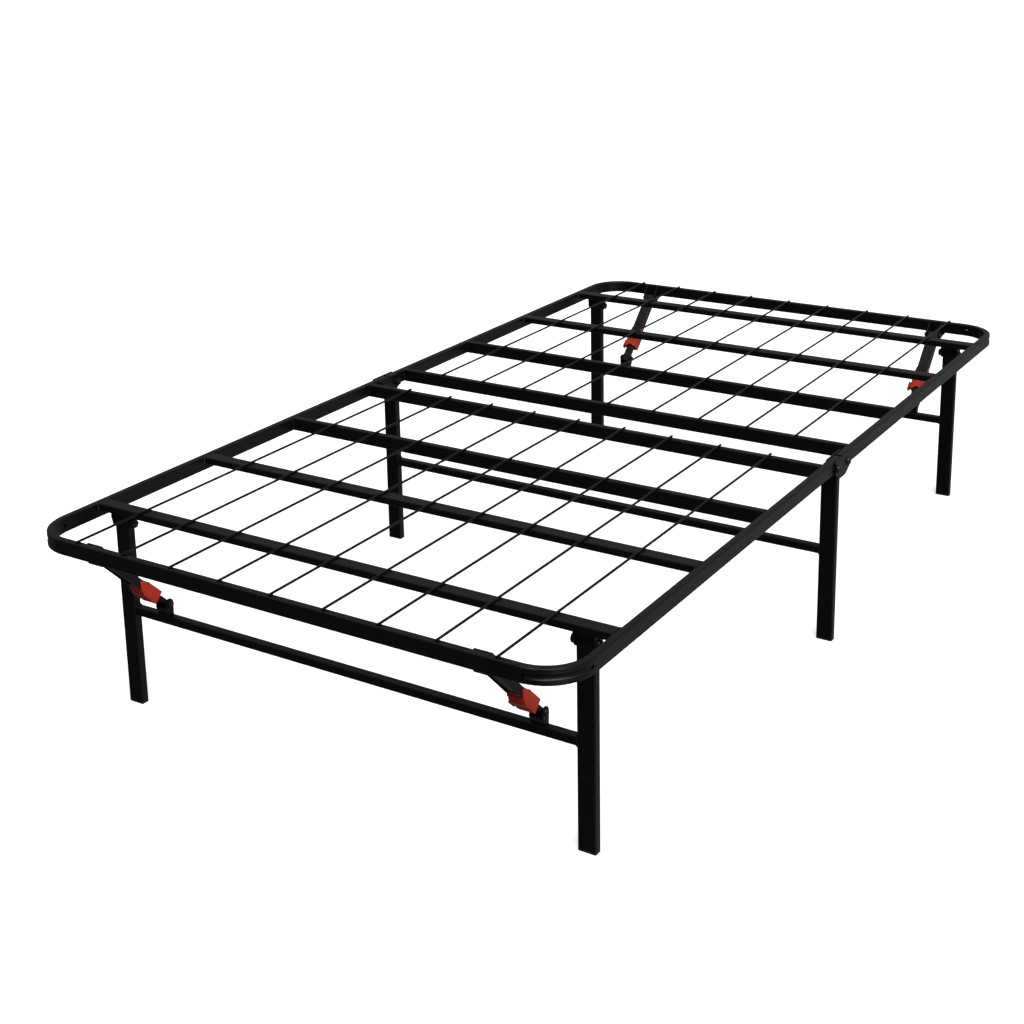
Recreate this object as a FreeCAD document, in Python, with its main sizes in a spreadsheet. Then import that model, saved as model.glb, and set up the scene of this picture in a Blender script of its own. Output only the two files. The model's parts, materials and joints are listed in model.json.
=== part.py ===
import FreeCAD, Part
import math
import os

import Sketcher
from FreeCAD import Placement, Rotation, Vector

# A folding platform bed frame of black steel tube, in millimetres.
# +X is across the bed, +Y runs from the foot end to the head end, and +Z is up.
# The origin is on the floor under the middle of the bed.
#
# A centre stand carries two equal deck halves on four hinge bolts. Each half is a U-shaped
# rail with four slats and nine wires, and has a leg frame that folds up under it. Two
# telescoping braces with red plastic latches hold each leg frame upright.

SIZES = [
    # The deck
    ("bed_length", 1905, "over both end rails"),
    ("bed_width", 990, "over both side rails"),
    ("deck_top", 352, "floor to the top of the rails and slats"),
    ("rail_tall", 25, "rail section, upright"),
    ("rail_wide", 13, "rail section, level"),
    ("tube_wall", 1.2, "wall of every steel tube"),
    ("tube_corner", 2.5, "outer corner radius of every steel tube"),
    ("bend_outer", 76, "outer radius of the rail's bends"),
    ("half_gap", 3, "middle of the bed to a rail's end"),
    ("dent_deep", 2.9, "depth of the bender's groove at the middle of a bend"),
    ("dent_tool", 5, "radius of the bender's ridge that presses the groove"),
    ("dent_clear", 0.1, "how far the ridge stands clear where a groove ends"),
    ("bracket_hole", 3, "radius of the holes for a headboard bracket"),
    ("hole_past_bend", 8, "from the start of a bend to its hole"),
    # Slats and wires, placed by their distance from the middle of the bed
    ("slat_leg_y", 797, "flat slat over the end legs"),
    ("slat_flat_y", 541, "second flat slat"),
    ("slat_edge_y", 299, "slat on edge"),
    ("slat_middle_y", 61, "slat on edge beside the hinge"),
    ("wire_radius", 2, "deck wire"),
    ("wire_step", 96.5, "from wire to wire"),
    ("wire_count", 9, "wires in each half"),
    ("wire_outer_y", 949, "outer end of a wire, on the end rail"),
    ("wire_inner_y", 55, "inner end of a wire, past the middle slat"),
    # Leg frames
    ("leg_wide", 30, "leg tube across the bed"),
    ("leg_deep", 15, "leg tube along the bed"),
    ("leg_x", 437, "end leg, from the middle"),
    ("leg_top", 333, "top of an end leg"),
    ("leg_pivot_z", 325, "leg pivot above the floor"),
    ("cross_size", 15, "square tube between two legs"),
    ("cross_z", 171, "its centre above the floor"),
    ("cap_base", 3.5, "foot cap under the tube"),
    ("cap_plug", 14, "foot cap inside the tube"),
    ("cap_fit", 0.05, "foot cap clear of the tube's inside"),
    # Saddles that hold the end legs
    ("saddle_plate", 2.5, "plate thickness"),
    ("saddle_gap", 0.4, "leg to each ear"),
    ("saddle_half", 12, "half the saddle's length"),
    ("saddle_side", 6, "straight part of a saddle's edge"),
    ("ear_radius", 10, "rounded ear about the leg pivot"),
    # Centre stand
    ("stand_x", 476, "centre leg, from the middle"),
    ("stand_top", 315, "top of a centre leg"),
    ("hinge_y", 23.5, "hinge bolt, from the middle"),
    ("hinge_z", 336, "hinge bolt above the floor"),
    ("hinge_plate", 3, "plate thickness"),
    ("hinge_gap", 0.4, "rail to each plate"),
    ("hinge_half", 34, "half the plate's length"),
    ("hinge_top", 352, "top of the plates"),
    ("hinge_corner", 3, "chamfer of the plates' upper corners"),
    ("hinge_shoulder", 327, "where the plates start to narrow"),
    ("hinge_web_half", 12.5, "half the length of the web over the leg"),
    # Braces, each in a plane across the bed at brace_x
    ("brace_x", 358, "brace, from the middle"),
    ("upper_pin_y", 926, "upper brace pivot, from the middle"),
    ("upper_pin_z", 323, "upper brace pivot above the floor"),
    ("lower_pin_y", 800, "lower brace pivot, from the middle"),
    ("lower_pin_z", 200, "lower brace pivot above the floor"),
    ("channel_wide", 24, "U channel across the bed"),
    ("channel_deep", 14, "U channel, depth of its sides"),
    ("channel_wall", 1.5, "U channel thickness"),
    ("channel_web_past", 5, "channel's web past the upper pivot"),
    ("channel_slim", 5, "brace line to the edge of the channel's sides at the upper pivot"),
    ("channel_end", 122, "upper pivot to the channel's lower end"),
    ("link_wide", 18, "sliding link across the bed"),
    ("link_deep", 8, "sliding link, depth"),
    ("link_long", 150, "lower pivot to the link's upper end"),
    ("link_tail", 7, "lower pivot to the link's lower end"),
    ("link_corner", 1.5, "outer corner radius of the link"),
    ("lock_hole", 8, "side of the square hole for the latch's tooth"),
    ("brace_gap", 0.3, "side clearance at the brace pivots"),
    ("bracket_plate", 2.5, "plate of the brackets and lugs"),
    ("bracket_ear", 6.5, "rounded ear about the upper pivot"),
    ("bracket_rise", 8, "straight part of an ear's inner edge"),
    ("bracket_narrow", 13, "half the width of the bracket's plate at its top"),
    ("bracket_broad", 22, "half its width level with the rail's underside"),
    ("bracket_drop", 9, "plate below the rail's underside"),
    ("lug_ear", 8.5, "rounded ear about the lower pivot"),
    ("lug_gap", 0.4, "link to each ear of its lug"),
    ("lug_web_top", 194, "top of the lug's two webs, above the floor"),
    # Latches, measured along the brace from the upper pivot
    ("tongue_start", 84, "top of the housing's tongue, inside the channel"),
    ("tongue_low", 4.4, "brace line to the tongue's inner side"),
    ("tongue_high", 8.4, "brace line to the tongue's outer side"),
    ("tongue_half", 10.2, "half the tongue's width"),
    ("latch_start", 107, "top of the block, at its outer side"),
    ("latch_slant", 10, "how much later the block starts at its inner side"),
    ("latch_step", 121, "where the block gets deeper"),
    ("latch_rise", 3, "length of the slope up to the deep part"),
    ("latch_end", 144, "lower end of the latch housing"),
    ("latch_wall", 2, "housing wall"),
    ("latch_corner", 1.5, "rounding of the block's long edges"),
    ("latch_lid", 13, "brace line to the outside of the deep part"),
    ("latch_floor", 5.6, "brace line to the inside behind the link"),
    ("latch_end_wall", 2.5, "wall at the lower end"),
    ("latch_room_start", 123, "start of the room for the key"),
    ("latch_arch", 9, "radius of the notch over the link at the lower end"),
    ("latch_arch_past", 4, "the notch's centre past the lower end"),
    ("window_clear", 0.6, "link to the housing's lower window, each side"),
    ("key_middle", 132.3, "centre of the push key"),
    ("key_long", 12.4, "key along the brace"),
    ("key_low", 6.7, "underside of the key above the brace line"),
    ("key_high", 10.3, "upper side of the key"),
    ("key_inner", 4, "inner end of the key past the brace's middle"),
    ("key_clear", 0.3, "key to its side window"),
    ("key_travel", 4, "how far the key is pushed in"),
    ("key_stop", 0.3, "stop collar to the inside of the housing"),
    ("collar_step", 0.5, "stop collar around the stem"),
    ("collar_thick", 2, "stop collar across the bed"),
    ("tooth_low", 5.2, "underside of the key's tooth"),
    ("tooth_half", 3, "half the tooth's width"),
    ("wing_reach", 22.5, "outer edge of the finger wing"),
    ("wing_up", 8, "wing above the middle of the key"),
    ("wing_down", 12, "wing below the middle of the key"),
    ("wing_deep", 11, "depth of the wing"),
    ("wing_inset", 3, "slope of the wing's ends"),
    ("spring_radius", 1.9, "centre of the wire to the spring's axis"),
    ("spring_wire", 0.4, "radius of the spring wire"),
    ("spring_pitch", 1.3, "turn to turn"),
    # Fasteners
    ("large_bolt", 4, "radius of an M8 bolt"),
    ("small_bolt", 3, "radius of an M6 bolt"),
    ("running_fit", 0.08, "radial clearance of a hole that turns on a bolt"),
    ("bolt_tail", 1.5, "bolt past its nut"),
]

doc = FreeCAD.newDocument("bed_frame")
sheet = doc.addObject("Spreadsheet::Sheet", "Sizes")
for row, (alias, value, meaning) in enumerate(SIZES, start=1):
    sheet.set(f"A{row}", alias)
    sheet.set(f"B{row}", str(value))
    sheet.setAlias(f"B{row}", alias)
    sheet.set(f"C{row}", meaning)
doc.recompute()

HALF_TURN = Rotation(Vector(0, 0, 1), 180)
NO_TURN = Rotation()
# Each deck half: its name, the side of the bed that it lies on, and the turn that carries
# a piece drawn for the foot half to it.
HALVES = [("foot", -1, NO_TURN), ("head", 1, HALF_TURN)]
SIDES = [("left", -1), ("right", 1)]

nodes = []


def size(formula):
    """The value of a formula of sheet sizes, in millimetres."""
    return float(sheet.evalExpression(formula))


# ---------------------------------------------------------------- sketches and features

def origin_feature(body, role):
    """One of the body's own origin planes or axes."""
    return next(each for each in body.Origin.OriginFeatures if each.Role == role)


def new_body(label):
    body = doc.addObject("PartDesign::Body", label)
    body.Label = label
    return body


def new_sketch(body, plane, middle="0"):
    """A sketch on an origin plane, or at a distance along that plane's axis."""
    sketch = body.newObject("Sketcher::SketchObject", "Outline")
    sketch.AttachmentSupport = [(origin_feature(body, plane), "")]
    sketch.MapMode = "FlatFace"
    # A sketch on the XZ plane faces -Y.
    sign = "-" if plane == "XZ_Plane" else ""
    sketch.setExpression(".AttachmentOffset.Base.z", f"{sign}({middle})")
    return sketch


def fix_point(sketch, line, end, across, up):
    """Hold one end of a line, or the centre of an arc, at two formulas from the origin."""
    for direction, formula in (("DistanceX", across), ("DistanceY", up)):
        constraint = Sketcher.Constraint(direction, -1, 1, line, end, size(formula))
        number = sketch.addConstraint(constraint)
        sketch.setExpression(f"Constraints[{number}]", formula)


def fix_radius(sketch, curve, formula):
    number = sketch.addConstraint(Sketcher.Constraint("Radius", curve, size(formula)))
    sketch.setExpression(f"Constraints[{number}]", formula)


def draw_polygon(sketch, corners):
    """A closed outline through corners given as pairs of formulas."""
    points = [Vector(size(across), size(up), 0) for across, up in corners]
    count = len(points)
    first = sketch.GeometryCount
    for index in range(count):
        following = points[(index + 1) % count]
        sketch.addGeometry(Part.LineSegment(points[index], following), False)
    for index in range(count):
        here = first + index
        following = first + (index + 1) % count
        sketch.addConstraint(Sketcher.Constraint("Coincident", here, 2, following, 1))
    for index, (across, up) in enumerate(corners):
        fix_point(sketch, first + index, 1, across, up)


def draw_box(sketch, left, right, low, high):
    draw_polygon(sketch, [(left, low), (right, low), (right, high), (left, high)])


def draw_circle(sketch, across, up, radius):
    circle = Part.Circle(Vector(size(across), size(up), 0), Vector(0, 0, 1), size(radius))
    index = sketch.addGeometry(circle, False)
    fix_point(sketch, index, 3, across, up)
    fix_radius(sketch, index, radius)


def draw_hexagon(sketch, across_corners):
    """A regular hexagon about the sketch's origin."""
    corners = []
    for turn in range(6):
        angle = 60 * turn
        reach = f"({across_corners}) / 2"
        corners.append((f"{reach} * cos({angle})", f"{reach} * sin({angle})"))
    draw_polygon(sketch, corners)


def draw_rounded_box(sketch, wide, tall, corner, across="0", up="0"):
    """A rectangle with four equal rounded corners, about a centre."""
    first = sketch.GeometryCount
    radius = size(corner)
    half_wide = size(wide) / 2 - radius
    half_tall = size(tall) / 2 - radius
    middle = Vector(size(across), size(up), 0)
    signs = [(1, 1), (-1, 1), (-1, -1), (1, -1)]
    centres = [middle + Vector(x * half_wide, y * half_tall, 0) for x, y in signs]
    for quarter, centre in enumerate(centres):
        start = quarter * math.pi / 2
        circle = Part.Circle(centre, Vector(0, 0, 1), radius)
        sketch.addGeometry(Part.ArcOfCircle(circle, start, start + math.pi / 2), False)
    for quarter in range(4):
        arc_end = sketch.Geometry[first + quarter].EndPoint
        next_start = sketch.Geometry[first + (quarter + 1) % 4].StartPoint
        sketch.addGeometry(Part.LineSegment(arc_end, next_start), False)
    for quarter in range(4):
        arc = first + quarter
        line = first + 4 + quarter
        next_arc = first + (quarter + 1) % 4
        sketch.addConstraint(Sketcher.Constraint("Tangent", arc, 2, line, 1))
        sketch.addConstraint(Sketcher.Constraint("Tangent", line, 2, next_arc, 1))
        fix_radius(sketch, arc, corner)
    for quarter, (x, y) in enumerate(signs):
        centre_across = f"{across} + ({x}) * (({wide}) / 2 - ({corner}))"
        centre_up = f"{up} + ({y}) * (({tall}) / 2 - ({corner}))"
        fix_point(sketch, first + quarter, 3, centre_across, centre_up)


def prism(body, kind, plane, middle, length, draw):
    """Add a Pad, or cut a Pocket, evenly to both sides of a plane at middle."""
    sketch = new_sketch(body, plane, middle)
    draw(sketch)
    feature = body.newObject(f"PartDesign::{kind}", kind)
    feature.Profile = sketch
    feature.SideType = "Symmetric"
    feature.setExpression("Length", length)
    before = body.Shape.Volume if kind == "Pocket" else 0
    body.Tip = feature
    doc.recompute()
    if kind == "Pocket" and body.Shape.Volume >= before:
        raise RuntimeError(f"a pocket of {body.Label} cuts nothing")
    return feature


def mirror_across_bed(body, features):
    """Repeat features made at +X at -X."""
    mirror = body.newObject("PartDesign::Mirrored", "Mirrored")
    mirror.Originals = features
    mirror.MirrorPlane = (origin_feature(body, "YZ_Plane"), [""])
    body.Tip = mirror
    doc.recompute()


def round_edges(body, radius, wanted):
    """Fillet every edge of the body's last feature that wanted picks."""
    base = body.Tip
    names = [f"Edge{n}" for n, edge in enumerate(base.Shape.Edges, start=1) if wanted(edge)]
    fillet = body.newObject("PartDesign::Fillet", "Fillet")
    fillet.Base = (base, names)
    fillet.setExpression("Radius", radius)
    body.Tip = fillet
    doc.recompute()


def runs_along(edge, axis):
    """Whether an edge is straight and parallel to an axis."""
    if edge.Curve.TypeId != "Part::GeomLine":
        return False
    return abs(edge.tangentAt(edge.FirstParameter).dot(axis)) > 0.999


def finish_node(piece, half_turn=NO_TURN, x="0", y="0", z="0", tilt=0.0):
    """Put a finished piece in its place and list it as a node of the model."""
    turn = half_turn.multiply(Rotation(Vector(1, 0, 0), tilt))
    piece.Placement = Placement(Vector(size(x), size(y), size(z)), turn)
    for axis, formula in (("x", x), ("y", y), ("z", z)):
        piece.setExpression(f".Placement.Base.{axis}", formula)
    nodes.append(piece)


def tube(label, plane, wide, tall, corner, length, middle="0"):
    """A straight steel tube along one axis, with a wall of the usual thickness."""
    body = new_body(label)

    def section(sketch):
        draw_rounded_box(sketch, wide, tall, corner)
        wall = "Sizes.tube_wall"
        draw_rounded_box(sketch, f"{wide} - 2 * {wall}", f"{tall} - 2 * {wall}", f"{corner} - {wall}")

    prism(body, "Pad", plane, middle, length, section)
    return body


# ---------------------------------------------------------------- bolts and nuts

BOLT_HEADS = {
    # radius alias: head radius, head height, socket and nut across corners, nut height
    "Sizes.large_bolt": ("7", "4.5", "5.8", "15", "6.5"),
    "Sizes.small_bolt": ("5.5", "3.7", "4.6", "11.5", "4.4"),
}


def bolt(label, radius, grip):
    """A domed bolt along X: its head stands on x = 0 and its shank points to -X."""
    head, tall, socket, _, nut_tall = BOLT_HEADS[radius]
    length = f"-({grip} + {nut_tall} + Sizes.bolt_tail)"
    body = new_body(label)
    sketch = new_sketch(body, "XY_Plane")
    profile = [
        (tall, "0"),
        (tall, f"{head} * 0.55"),
        (f"{tall} * 0.7", f"{head} * 0.86"),
        (f"{tall} * 0.25", head),
        ("0", head),
        ("0", radius),
        (f"{length} + 0.6", radius),
        (length, f"{radius} - 0.6"),
        (length, "0"),
    ]
    draw_polygon(sketch, profile)
    turned = body.newObject("PartDesign::Revolution", "Revolution")
    turned.Profile = sketch
    turned.ReferenceAxis = (sketch, ["H_Axis"])
    turned.Angle = 360
    body.Tip = turned
    doc.recompute()
    prism(body, "Pocket", "YZ_Plane", tall, tall, lambda sketch: draw_hexagon(sketch, socket))
    return body


def nut(label, radius, grip):
    """The hexagon nut at the far end of a bolt's grip."""
    across_corners, nut_tall = BOLT_HEADS[radius][3:]
    body = new_body(label)

    def section(sketch):
        draw_hexagon(sketch, across_corners)
        draw_circle(sketch, "0", "0", radius)

    middle = f"-({grip} + {nut_tall} / 2)"
    prism(body, "Pad", "YZ_Plane", middle, nut_tall, section)
    return body


def bolted_pairs(label, half_turn, radius, grip, spots):
    """Bolts and nuts at spots on the +X side, and their mirror images at -X, as one node."""
    pieces = []
    for number, (x, y, z) in enumerate(spots, start=1):
        for make in (bolt, nut):
            piece = make(f"{label}_{make.__name__}_{number}", radius, grip)
            for axis, formula in (("x", x), ("y", y), ("z", z)):
                piece.setExpression(f".Placement.Base.{axis}", formula)
            other = doc.addObject("Part::Mirroring", f"{piece.Label}_mirrored")
            other.Source = piece
            other.Normal = Vector(1, 0, 0)
            pieces += [piece, other]
    group = doc.addObject("Part::Compound", label)
    group.Links = pieces
    finish_node(group, half_turn)


# ---------------------------------------------------------------- the deck of one half

RAIL_LINE_X = "(Sizes.bed_width / 2 - Sizes.rail_wide / 2)"
RAIL_LINE_Y = "(Sizes.bed_length / 2 - Sizes.rail_wide / 2)"
BEND_X = "(Sizes.bed_width / 2 - Sizes.bend_outer)"
BEND_Y = "(Sizes.bed_length / 2 - Sizes.bend_outer)"
RAIL_MIDDLE_Z = "(Sizes.deck_top - Sizes.rail_tall / 2)"
RAIL_INSIDE = "(Sizes.bed_width / 2 - Sizes.rail_wide)"


def draw_rail_line(sketch, start):
    """The rail's centre line: down the left side, across the end and back up the right."""
    bend = size("Sizes.bend_outer - Sizes.rail_wide / 2")
    side_x, end_y = size(RAIL_LINE_X), size(RAIL_LINE_Y)
    bend_x, bend_y = size(BEND_X), size(BEND_Y)
    top = size(start)
    up = Vector(0, 0, 1)
    left_circle = Part.Circle(Vector(-bend_x, -bend_y, 0), up, bend)
    right_circle = Part.Circle(Vector(bend_x, -bend_y, 0), up, bend)
    sketch.addGeometry(Part.LineSegment(Vector(-side_x, -top, 0), Vector(-side_x, -bend_y, 0)), False)
    sketch.addGeometry(Part.ArcOfCircle(left_circle, math.pi, 1.5 * math.pi), False)
    sketch.addGeometry(Part.LineSegment(Vector(-bend_x, -end_y, 0), Vector(bend_x, -end_y, 0)), False)
    sketch.addGeometry(Part.ArcOfCircle(right_circle, 1.5 * math.pi, 2 * math.pi), False)
    sketch.addGeometry(Part.LineSegment(Vector(side_x, -bend_y, 0), Vector(side_x, -top, 0)), False)
    for curve in range(4):
        sketch.addConstraint(Sketcher.Constraint("Tangent", curve, 2, curve + 1, 1))
    sketch.addConstraint(Sketcher.Constraint("Vertical", 0))
    sketch.addConstraint(Sketcher.Constraint("Horizontal", 2))
    sketch.addConstraint(Sketcher.Constraint("Vertical", 4))
    sketch.addConstraint(Sketcher.Constraint("Equal", 1, 3))
    fix_point(sketch, 0, 1, f"-{RAIL_LINE_X}", f"-({start})")
    fix_point(sketch, 1, 3, f"-{BEND_X}", f"-{BEND_Y}")
    number = sketch.addConstraint(Sketcher.Constraint("DistanceX", -1, 1, 3, 3, bend_x))
    sketch.setExpression(f"Constraints[{number}]", BEND_X)
    number = sketch.addConstraint(Sketcher.Constraint("DistanceY", -1, 1, 4, 2, -top))
    sketch.setExpression(f"Constraints[{number}]", f"-({start})")


def bent_bar(label, inset, start):
    """A bar along the rail's centre line, its section smaller than the rail's by inset."""
    body = new_body(label)
    line = new_sketch(body, "XY_Plane")
    draw_rail_line(line, start)
    section = new_sketch(body, "XZ_Plane", f"-({start})")
    wide = f"Sizes.rail_wide - 2 * {inset}"
    tall = f"Sizes.rail_tall - 2 * {inset}"
    draw_rounded_box(section, wide, tall, f"Sizes.tube_corner - {inset}", f"-{RAIL_LINE_X}")
    doc.recompute()
    bar = body.newObject("PartDesign::AdditivePipe", "Bar")
    bar.Profile = section
    bar.Spine = (line, [f"Edge{n}" for n in range(1, 6)])
    body.Tip = bar
    doc.recompute()
    return body


def bend_ridge(label, side, inset):
    """The ridge of the bending tool, a ring whose quarter runs round one bend.

    The ring is centred further in than the bend, so that it is deepest at the middle of
    the bend and stands clear of the rail where the bend ends."""
    ridge = doc.addObject("Part::Torus", label)
    reach = "((Sizes.dent_deep + Sizes.dent_clear) / (1 - sqrt(0.5)))"
    shift = f"{reach} * sqrt(0.5)"
    ridge.setExpression("Radius1", f"Sizes.bend_outer - Sizes.dent_deep + {reach} + Sizes.dent_tool")
    ridge.setExpression("Radius2", f"Sizes.dent_tool + {inset}")
    ridge.Angle3 = 90
    quarter = 180 if side < 0 else -90
    ridge.Placement = Placement(Vector(), Rotation(Vector(0, 0, 1), quarter))
    ridge.setExpression(".Placement.Base.x", f"({side}) * ({BEND_X} - {shift})")
    ridge.setExpression(".Placement.Base.y", f"-({BEND_Y} - {shift})")
    return ridge


def drill(label, radius, x, y, z, length, along_x):
    """A drill through the rail, level with the floor, centred at a point."""
    cylinder = doc.addObject("Part::Cylinder", label)
    cylinder.setExpression("Radius", radius)
    cylinder.setExpression("Height", length)
    axis = Vector(0, 1, 0) if along_x else Vector(-1, 0, 0)
    cylinder.Placement = Placement(Vector(), Rotation(axis, 90))
    start_x, start_y = (f"{x} - ({length}) / 2", y) if along_x else (x, f"{y} - ({length}) / 2")
    cylinder.setExpression(".Placement.Base.x", start_x)
    cylinder.setExpression(".Placement.Base.y", start_y)
    cylinder.setExpression(".Placement.Base.z", z)
    return cylinder


def cut(label, base, tools):
    """The base less its tools, which are fused first if there are several."""
    tool = tools[0]
    if len(tools) > 1:
        tool = doc.addObject("Part::MultiFuse", f"{label}_tools")
        tool.Shapes = tools
    result = doc.addObject("Part::Cut", label)
    result.Base = base
    result.Tool = tool
    return result


def perimeter_rail(label, half_turn):
    """The U-shaped rail: a hollow tube with a pressed groove round each bend."""
    solids = []
    for part_name, inset, start in (
        ("outside", "0", "Sizes.half_gap"),
        ("inside", "Sizes.tube_wall", "Sizes.half_gap - 1"),
    ):
        bar = bent_bar(f"{label}_{part_name}_bar", inset, start)
        ridges = [bend_ridge(f"{label}_{part_name}_ridge_{name}", side, inset) for name, side in SIDES]
        solids.append(cut(f"{label}_{part_name}", bar, ridges))
    outside, inside = solids
    tools = [inside]
    turning_hole = "Sizes.large_bolt + Sizes.running_fit"
    hinge_height = f"Sizes.hinge_z - {RAIL_MIDDLE_Z}"
    across = "Sizes.bed_width + 20"
    hinge_drill = f"{label}_hinge_drill"
    tools.append(drill(hinge_drill, turning_hole, "0", "-Sizes.hinge_y", hinge_height, across, True))
    side_hole_y = f"-({BEND_Y} + Sizes.hole_past_bend)"
    tools.append(drill(f"{label}_side_drill", "Sizes.bracket_hole", "0", side_hole_y, "0", across, True))
    for name, side in SIDES:
        hole_x = f"({side}) * ({BEND_X} + Sizes.hole_past_bend)"
        middle_y = f"-{RAIL_LINE_Y}"
        end_drill = f"{label}_end_drill_{name}"
        tools.append(drill(end_drill, "Sizes.bracket_hole", hole_x, middle_y, "0", "20", False))
    rail = cut(label, outside, tools)
    finish_node(rail, half_turn, z=RAIL_MIDDLE_Z)


def slats(prefix, side, half_turn):
    """Four slats between the side rails: two laid flat and two on edge."""
    length = f"2 * {RAIL_INSIDE}"
    wide, tall = "Sizes.rail_wide", "Sizes.rail_tall"
    layout = [
        ("slat_1", "Sizes.slat_leg_y", tall, wide),
        ("slat_2", "Sizes.slat_flat_y", tall, wide),
        ("slat_3", "Sizes.slat_edge_y", wide, tall),
        ("slat_4", "Sizes.slat_middle_y", wide, tall),
    ]
    for name, distance, along, upright in layout:
        slat = tube(f"{prefix}_{name}", "YZ_Plane", along, upright, "Sizes.tube_corner", length)
        height = f"Sizes.deck_top - {upright} / 2"
        finish_node(slat, half_turn, y=f"({side}) * {distance}", z=height)


def deck_wires(label, half_turn):
    """Nine straight wires, welded on top of the end rail and the slats."""
    body = new_body(label)
    middle = "-(Sizes.wire_outer_y + Sizes.wire_inner_y) / 2"
    length = "Sizes.wire_outer_y - Sizes.wire_inner_y"
    span = "Sizes.wire_step * (Sizes.wire_count - 1)"
    height = "Sizes.deck_top + Sizes.wire_radius"

    def section(sketch):
        draw_circle(sketch, f"-{span} / 2", height, "Sizes.wire_radius")

    first = prism(body, "Pad", "XZ_Plane", middle, length, section)
    pattern = body.newObject("PartDesign::LinearPattern", "Wires")
    pattern.Originals = [first]
    pattern.Direction = (origin_feature(body, "X_Axis"), [""])
    pattern.setExpression("Length", span)
    pattern.setExpression("Occurrences", "Sizes.wire_count")
    body.Tip = pattern
    doc.recompute()
    finish_node(body, half_turn)


def leg_saddles(label, half_turn):
    """Two U-shaped plates under the first slat, whose ears hold the end legs."""
    body = new_body(label)
    slat_bottom = "(Sizes.deck_top - Sizes.rail_wide)"
    inside = "(Sizes.leg_wide + 2 * Sizes.saddle_gap)"
    outside = f"{inside} + 2 * Sizes.saddle_plate"
    middle_y = "-Sizes.slat_leg_y"

    def ears(sketch):
        corners = [
            (f"{middle_y} - Sizes.saddle_half", slat_bottom),
            (f"{middle_y} - Sizes.saddle_half", f"{slat_bottom} - Sizes.saddle_side"),
            (f"{middle_y} - Sizes.ear_radius", "Sizes.leg_pivot_z"),
            (f"{middle_y} + Sizes.ear_radius", "Sizes.leg_pivot_z"),
            (f"{middle_y} + Sizes.saddle_half", f"{slat_bottom} - Sizes.saddle_side"),
            (f"{middle_y} + Sizes.saddle_half", slat_bottom),
        ]
        draw_polygon(sketch, corners)

    def rounded_end(sketch):
        draw_circle(sketch, middle_y, "Sizes.leg_pivot_z", "Sizes.ear_radius")

    def leg_space(sketch):
        low = "Sizes.leg_pivot_z - 2 * Sizes.ear_radius"
        high = f"{slat_bottom} - Sizes.saddle_plate"
        reach = "2 * Sizes.saddle_half"
        draw_box(sketch, f"{middle_y} - {reach}", f"{middle_y} + {reach}", low, high)

    def bolt_hole(sketch):
        draw_circle(sketch, middle_y, "Sizes.leg_pivot_z", "Sizes.large_bolt")

    features = [
        prism(body, "Pad", "YZ_Plane", "Sizes.leg_x", outside, ears),
        prism(body, "Pad", "YZ_Plane", "Sizes.leg_x", outside, rounded_end),
        prism(body, "Pocket", "YZ_Plane", "Sizes.leg_x", inside, leg_space),
        prism(body, "Pocket", "YZ_Plane", "Sizes.leg_x", f"{outside} + 2", bolt_hole),
    ]
    mirror_across_bed(body, features)
    finish_node(body, half_turn)


def brace_brackets(label, half_turn):
    """Two brackets inside the end rail: a plate on its inner face, with an ear on each side
    of a brace's channel."""
    body = new_body(label)
    inside = "(Sizes.channel_wide + 2 * Sizes.brace_gap)"
    outside = f"({inside} + 2 * Sizes.bracket_plate)"
    rail_face = "-(Sizes.bed_length / 2 - Sizes.rail_wide)"
    rail_bottom = "(Sizes.deck_top - Sizes.rail_tall)"
    pin_y = "-Sizes.upper_pin_y"

    def ears(sketch):
        corners = [
            (rail_face, "Sizes.deck_top"),
            (rail_face, f"{rail_bottom} - Sizes.bracket_drop"),
            (pin_y, "Sizes.upper_pin_z - Sizes.bracket_ear"),
            (f"{pin_y} + Sizes.bracket_ear", "Sizes.upper_pin_z"),
            (f"{pin_y} + Sizes.bracket_ear", "Sizes.upper_pin_z + Sizes.bracket_rise"),
            (f"{rail_face} + Sizes.bracket_plate", "Sizes.deck_top"),
        ]
        draw_polygon(sketch, corners)

    def rounded_end(sketch):
        draw_circle(sketch, pin_y, "Sizes.upper_pin_z", "Sizes.bracket_ear")

    def channel_space(sketch):
        near = f"{rail_face} + Sizes.bracket_plate"
        low = "Sizes.upper_pin_z - 2 * Sizes.bracket_ear"
        draw_box(sketch, near, f"{pin_y} + 2 * Sizes.bracket_ear", low, "Sizes.deck_top + 1")

    def plate(sketch):
        corners = []
        for sign in (-1, 1):
            side = [
                ("Sizes.bracket_narrow", "Sizes.deck_top"),
                ("Sizes.bracket_broad", rail_bottom),
                (f"{outside} / 2", f"{rail_bottom} - Sizes.bracket_drop"),
            ]
            corners += [(f"Sizes.brace_x + ({sign}) * {x}", z) for x, z in side[::sign]]
        draw_polygon(sketch, corners)

    def bolt_hole(sketch):
        draw_circle(sketch, pin_y, "Sizes.upper_pin_z", "Sizes.small_bolt")

    plate_middle = f"{rail_face} + Sizes.bracket_plate / 2"
    features = [
        prism(body, "Pad", "YZ_Plane", "Sizes.brace_x", outside, ears),
        prism(body, "Pad", "YZ_Plane", "Sizes.brace_x", outside, rounded_end),
        prism(body, "Pocket", "YZ_Plane", "Sizes.brace_x", inside, channel_space),
        prism(body, "Pad", "XZ_Plane", plate_middle, "Sizes.bracket_plate", plate),
        prism(body, "Pocket", "YZ_Plane", "Sizes.brace_x", f"{outside} + 2", bolt_hole),
    ]
    mirror_across_bed(body, features)
    finish_node(body, half_turn)


# ---------------------------------------------------------------- leg frames

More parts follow.
